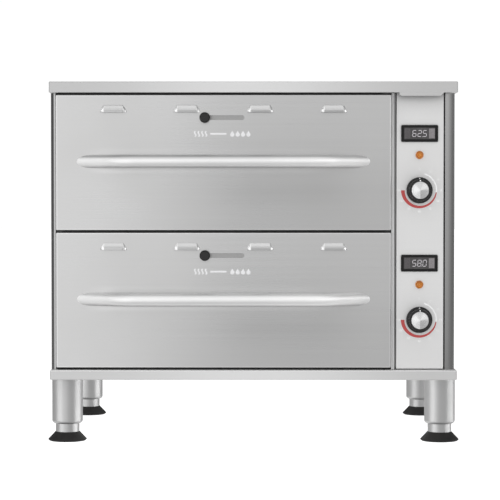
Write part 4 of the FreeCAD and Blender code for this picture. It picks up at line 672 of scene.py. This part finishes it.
PANEL_Y = box_mm("control_panel")[0][1]
for n in DRAWERS:
    cx, _, cz = (v / MM for v in KNOB[n])
    # Dial scale printed on the panel: a thin white arc, a widening red arc, ticks and plain numbers.
    s = Shape(WHITE_INK, RED_INK)
    f0, f1 = PANEL_Y - 0.12, PANEL_Y + 0.05
    turns = [16 + (95 - 16) * k / 40 for k in range(41)]
    s.strip([clock(cx, cz, 32.5, a) for a in turns], [clock(cx, cz, 30.3, a) for a in turns], f0, f1)
    turns = [97 + (270 - 97) * k / 80 for k in range(81)]
    grow = [k / 80 for k in range(81)]
    s.strip([clock(cx, cz, 31.8 + 2.1 * t ** 0.75, a) for a, t in zip(turns, grow)],
            [clock(cx, cz, 30.2 - 3.0 * t ** 0.75, a) for a, t in zip(turns, grow)], f0, f1, 1)
    for k in range(9):
        a = 30 + 30 * k
        p, q = clock(cx, cz, 34.6, a), clock(cx, cz, 36.2, a)
        dx, dz = 0.25 * math.cos(math.radians(a)), -0.25 * math.sin(math.radians(a))
        s.plate([(p[0] - dx, p[1] - dz), (q[0] - dx, q[1] - dz), (q[0] + dx, q[1] + dz), (p[0] + dx, p[1] + dz)], f0, f1)
        x, z = clock(cx, cz, 39.3, a)
        s.figure(str(30 + 10 * k), x, z, 3.6, f0, f1)
    s.figure("0", *clock(cx, cz, 39.3, 0), 4.2, f0, f1)
    s.piece(n + "_dial_scale", "cabinet")

    # Pointer line let into the skirt and the front rim of the knob.
    lo, hi = box_mm(n + "_knob")
    s = Shape(WHITE_INK)
    rim = lo[1]
    s.plate([(cx - 1.0, cz + 16.4), (cx + 1.0, cz + 16.4), (cx + 1.1, cz + 18.2), (cx, cz + 18.9), (cx - 1.1, cz + 18.2)], rim - 0.08, rim + 0.4)
    s.plate([(cx - 1.1, cz + 20.9), (cx + 1.1, cz + 20.9), (cx + 1.1, cz + 22.6), (cx - 1.1, cz + 22.6)], PANEL_Y - 5.0, PANEL_Y - 3.4)
    s.piece(n + "_knob_pointer", n + "_thermostat_knob")

    # Temperature read-out: three lit figures between two plain fields of fine bars.
    lo, hi = box_mm("thermometer_windows")
    face, mid = lo[1], cz + 104.4
    s = Shape(LIT, UNLIT, FIELD, FIELD_PALE)
    FIGURES = {"0": "abcdef", "2": "abged", "5": "afgcd", "6": "afgedc", "8": "abcdefg"}
    W, H, T = 3.1, 5.6, 0.55

    def segment(x, z, key, slot):
        def lean(px, pz):
            return x + px + 0.10 * pz, z + pz
        if key in "agd":
            h = {"a": H, "g": 0.0, "d": -H}[key]
            pts = [(-W + 0.35, h), (-W + 0.35 + T, h + T), (W - 0.35 - T, h + T), (W - 0.35, h), (W - 0.35 - T, h - T), (-W + 0.35 + T, h - T)]
        else:
            px = W if key in "bc" else -W
            z0, z1 = (0.0, H) if key in "bf" else (-H, 0.0)
            pts = [(px, z0 + 0.35), (px - T, z0 + 0.35 + T), (px - T, z1 - 0.35 - T), (px, z1 - 0.35), (px + T, z1 - 0.35 - T), (px + T, z0 + 0.35 + T)]
        s.plate([lean(*p) for p in pts], face - (0.10 if slot == 0 else 0.05), face + 0.05, slot)

    for k, ch in enumerate({"upper": "625", "lower": "580"}[n]):
        for key in "abcdefg":
            segment(cx - 9.6 + 9.6 * k, mid, key, 0 if key in FIGURES[ch] else 1)
    px, pz = cx + 4.6, mid - H
    s.plate([(px + 0.6 * math.cos(t), pz + 0.6 * math.sin(t)) for t in [math.pi * k / 8 for k in range(16)]], face - 0.10, face + 0.05)
    for side, slot in ((-1, 2), (1, 3)):
        for k in range(4):
            x = cx + side * 22.4 + (k - 1.5) * 2.6
            s.plate([(x - 1.2, mid - 9.0), (x + 1.2, mid - 9.0), (x + 1.2, mid + 9.0), (x - 1.2, mid + 9.0)], face - 0.05, face + 0.05, slot)
    s.piece(n + "_readout", "cabinet")

    # Lamp lens: stepped rings round a sunken core; the outer ring takes the deeper amber as painted shade.
    lamp = cz + 65.0
    top = box_mm("indicator_lamps")[0][1]
    s = Shape(AMBER, AMBER_DEEP)
    s.lathe([(0, top + 0.9), (1.6, top + 0.8), (2.2, top - 0.1), (2.2, top + 1.6), (0, top + 1.6)], cx, lamp, 48, 1)
    for r, back, shade in ((3.1, 0.35, 0), (4.3, 0.85, 0), (5.5, 1.55, 1)):
        s.lathe([(r - 0.45, top + back + 0.5), (r - 0.45, top + back - 0.25), (r - 0.15, top + back - 0.55), (r + 0.15, top + back - 0.55),
                 (r + 0.45, top + back - 0.25), (r + 0.45, top + back + 0.5), (r - 0.45, top + back + 0.5)], cx, lamp, 48, shade)
    s.piece(n + "_lamp_lens", "cabinet", 40)

    # Vent marks on the drawer front: dry heat to the left, moist heat to the right, a line between.
    lo, hi = box_mm(n + "_drawer_front")
    fy, z = lo[1] + 6.0, lo[2] + 177.0
    f0, f1 = fy - 0.12, fy + 0.05
    s = Shape(VENT_INK)
    s.plate([(-79.0, z - 1.6), (-49.2, z - 1.6), (-49.2, z + 1.6), (-79.0, z + 1.6)], f0, f1)
    for k in range(4):
        x = -106.6 + 6.6 * k
        line = [(x + 1.1 * math.sin(2 * math.pi * t / 10), z - 5.2 + 1.04 * t) for t in range(11)]
        s.strip([(a - 1.5, b) for a, b in line], [(a + 1.5, b) for a, b in line], f0, f1)
    for k in range(4):
        x = -38.6 + 9.9 * k
        drop = [(x, z + 5.6), (x - 1.8, z + 2.6)]
        drop += [(x + 3.9 * math.cos(math.radians(a)), z - 1.4 + 3.9 * math.sin(math.radians(a))) for a in range(155, 386, 15)]
        drop += [(x + 1.8, z + 2.6)]
        s.plate(drop, f0, f1)
    s.piece(n + "_vent_marks", n + "_drawer")


# ------------------------------------------------------------ floor and lights
def stage_floor():
    f = Finish("floor_white")
    cloud = f.noise((0.7, 0.7, 0.7), 3.0, 0.5)
    c = f.blend(f.span(cloud, 0.3, 0.7, 0.0, 1.0), grey(0.86), grey(0.90))
    f.set(Base_Color=c, Roughness=0.9, Emission_Color=(1, 1, 1, 1), Emission_Strength=0.85)
    bm = bmesh.new()
    # Low enough to clear the feet when they are screwed right out.
    ring = [bm.verts.new((30 * math.cos(2 * math.pi * k / 64), 30 * math.sin(2 * math.pi * k / 64), -0.0256)) for k in range(64)]
    bm.faces.new(ring)
    mesh = bpy.data.meshes.new("floor")
    bm.to_mesh(mesh)
    bm.free()
    mesh.materials.append(f.material)
    ob = bpy.data.objects.new("floor", mesh)
    scene.collection.objects.link(ob)
    ob.visible_glossy = ob.visible_shadow = False


stage_floor()


def softbox(name, place, aim, width, height, radiance, only=()):
    """A flat light of the given brightness, turned to face a point; it may be flagged off all but a few pieces."""
    lamp = bpy.data.lights.new(name, "AREA")
    lamp.shape = "RECTANGLE"
    lamp.size, lamp.size_y = width, height
    lamp.energy = radiance * 4 * width * height
    ob = bpy.data.objects.new(name, lamp)
    scene.collection.objects.link(ob)
    ob.location = place
    ob.rotation_mode = "QUATERNION"
    ob.rotation_quaternion = (Vector(aim) - Vector(place)).to_track_quat("-Z", "Y")
    ob.visible_camera = False
    if only:
        lit = bpy.data.collections.new(name + "_on")
        for node in only:
            lit.objects.link(NODES[node])
        ob.light_linking.receiver_collection = lit


LEGS = ["leg_tubes"] + [n for n in NODES if n.endswith(("_foot_stem", "_foot_pad"))]
FRONTS = [n + "_drawer_front" for n in DRAWERS]
HANDLES = [n + "_drawer_handle" for n in DRAWERS]
softbox("front_left", (-0.85, -1.7, 0.40), (-0.85, 0.0, 0.40), 1.2, 2.0, 0.40)
softbox("far_left", (-2.1, -2.0, 0.40), (-0.4, -0.2, 0.40), 1.1, 1.6, 0.30)
softbox("front_right", (1.1, -2.2, 0.45), (0.1, -0.26, 0.40), 0.8, 1.6, 0.05)
softbox("front_top", (0.0, -2.6, 1.55), (0.0, -0.26, 0.45), 1.4, 0.9, 0.05)
softbox("left_side", (-2.6, -0.6, 0.50), (-0.3, -0.1, 0.40), 1.9, 1.2, 0.30)
softbox("left_high", (-2.2, -1.7, 1.60), (-0.2, -0.26, 0.40), 0.9, 0.7, 0.50)
softbox("right_high", (2.2, -1.7, 1.60), (0.2, -0.26, 0.40), 0.9, 0.7, 0.60)
softbox("low_left", (-2.7, -1.8, -0.45), (-0.35, -0.2, 0.08), 2.3, 0.8, 1.70, LEGS)
softbox("low_right", (3.0, -0.25, -0.38), (0.35, -0.2, 0.08), 3.2, 0.7, 2.90, LEGS)
softbox("louvre_left", (-2.4, -1.10, 1.90), (-0.1, -0.26, 0.50), 2.4, 1.8, 0.85, FRONTS)
softbox("louvre_top", (0.0, -1.45, 2.60), (0.0, -0.26, 0.50), 2.6, 1.2, 0.55, FRONTS)
softbox("louvre_right", (2.4, -0.10, 1.00), (0.0, -0.26, 0.50), 2.4, 1.1, 1.90, FRONTS)
softbox("handle_left", (-2.2, -1.10, 1.90), (-0.3, -0.29, 0.40), 1.7, 1.4, 0.31, HANDLES)
softbox("handle_right", (2.25, -1.75, 0.95), (0.2, -0.29, 0.40), 2.4, 1.2, 0.38, HANDLES)
softbox("handle_front", (0.90, -2.55, 1.02), (0.1, -0.29, 0.45), 2.2, 1.0, 0.32, HANDLES)
softbox("handle_low", (0.0, -1.50, 2.30), (0.0, -0.29, 0.27), 2.4, 1.0, 0.30, HANDLES[1:])
softbox("front_rim", (-2.4, 1.0, 0.40), (-0.36, -0.26, 0.40), 1.5, 1.5, 0.60, FRONTS)
softbox("overhead", (0.0, -0.3, 2.80), (0.0, 0.0, 0.0), 2.2, 1.8, 0.10)
softbox("top_sheen", (0.0, 0.6, 2.90), (0.0, 0.0, 0.60), 3.2, 2.6, 0.25, ["top_panel"] + [n + "_drawer_pan" for n in DRAWERS])

world = bpy.data.worlds.new("studio")
scene.world = world
world.use_nodes = True
tree = world.node_tree
tree.nodes.clear()


def wire(kind, **values):
    node = tree.nodes.new(kind)
    for key, value in values.items():
        setattr(node, key, value)
    return node


out = wire("ShaderNodeOutputWorld")
seen = wire("ShaderNodeBackground")
seen.inputs["Color"].default_value = (1, 1, 1, 1)
seen.inputs["Strength"].default_value = 1.02
# Room fill: even walls, a broad glow from the front a little above eye level, and a pale floor behind the object.
ROOM, GLOW, GROUND = 0.28, 0.60, 0.80
fill = wire("ShaderNodeBackground")
fill.inputs["Color"].default_value = (1, 1, 1, 1)
way = wire("ShaderNodeTexCoord").outputs["Generated"]


def work(kind, a, b):
    node = wire("ShaderNodeMath", operation=kind)
    for socket, v in zip(node.inputs, (a, b)):
        if isinstance(v, bpy.types.NodeSocket):
            tree.links.new(v, socket)
        else:
            socket.default_value = v
    return node.outputs[0]


toward = wire("ShaderNodeVectorMath", operation="DOT_PRODUCT")
tree.links.new(way, toward.inputs[0])
toward.inputs[1].default_value = (0.0, -math.cos(math.radians(20.0)), math.sin(math.radians(20.0)))
axes = wire("ShaderNodeSeparateXYZ")
tree.links.new(way, axes.inputs[0])
down = wire("ShaderNodeMapRange", interpolation_type="SMOOTHSTEP")
for key, v in (("From Min", -0.02), ("From Max", -0.22), ("To Min", 0.0), ("To Max", 1.0)):
    down.inputs[key].default_value = v
tree.links.new(axes.outputs["Z"], down.inputs["Value"])
behind = wire("ShaderNodeMapRange", interpolation_type="SMOOTHSTEP")
for key, v in (("From Min", -0.9), ("From Max", 0.3), ("To Min", 0.0), ("To Max", 1.0)):
    behind.inputs[key].default_value = v
tree.links.new(axes.outputs["Y"], behind.inputs["Value"])
pale = work("MULTIPLY", down.outputs[0], behind.outputs[0])
front = work("POWER", work("MAXIMUM", toward.outputs["Value"], 0.0), 1.3)
level = work("ADD", work("ADD", work("MULTIPLY", front, GLOW), ROOM), work("MULTIPLY", pale, GROUND))
tree.links.new(level, fill.inputs["Strength"])
path = wire("ShaderNodeLightPath")
mix = wire("ShaderNodeMixShader")
tree.links.new(path.outputs["Is Camera Ray"], mix.inputs[0])
tree.links.new(fill.outputs[0], mix.inputs[1])
tree.links.new(seen.outputs[0], mix.inputs[2])
tree.links.new(mix.outputs[0], out.inputs["Surface"])

# ---------------------------------------------------------------------- camera
lens = bpy.data.cameras.new("camera")
lens.sensor_width = 36.0
lens.lens = 139.4
lens.clip_start, lens.clip_end = 0.05, 100.0
eye = bpy.data.objects.new("camera", lens)
scene.collection.objects.link(eye)
eye.location = (0.0160, -3.816, 0.4452)
eye.rotation_euler = (math.radians(90.0 - 1.4245), 0.0, math.radians(0.355))
scene.camera = eye
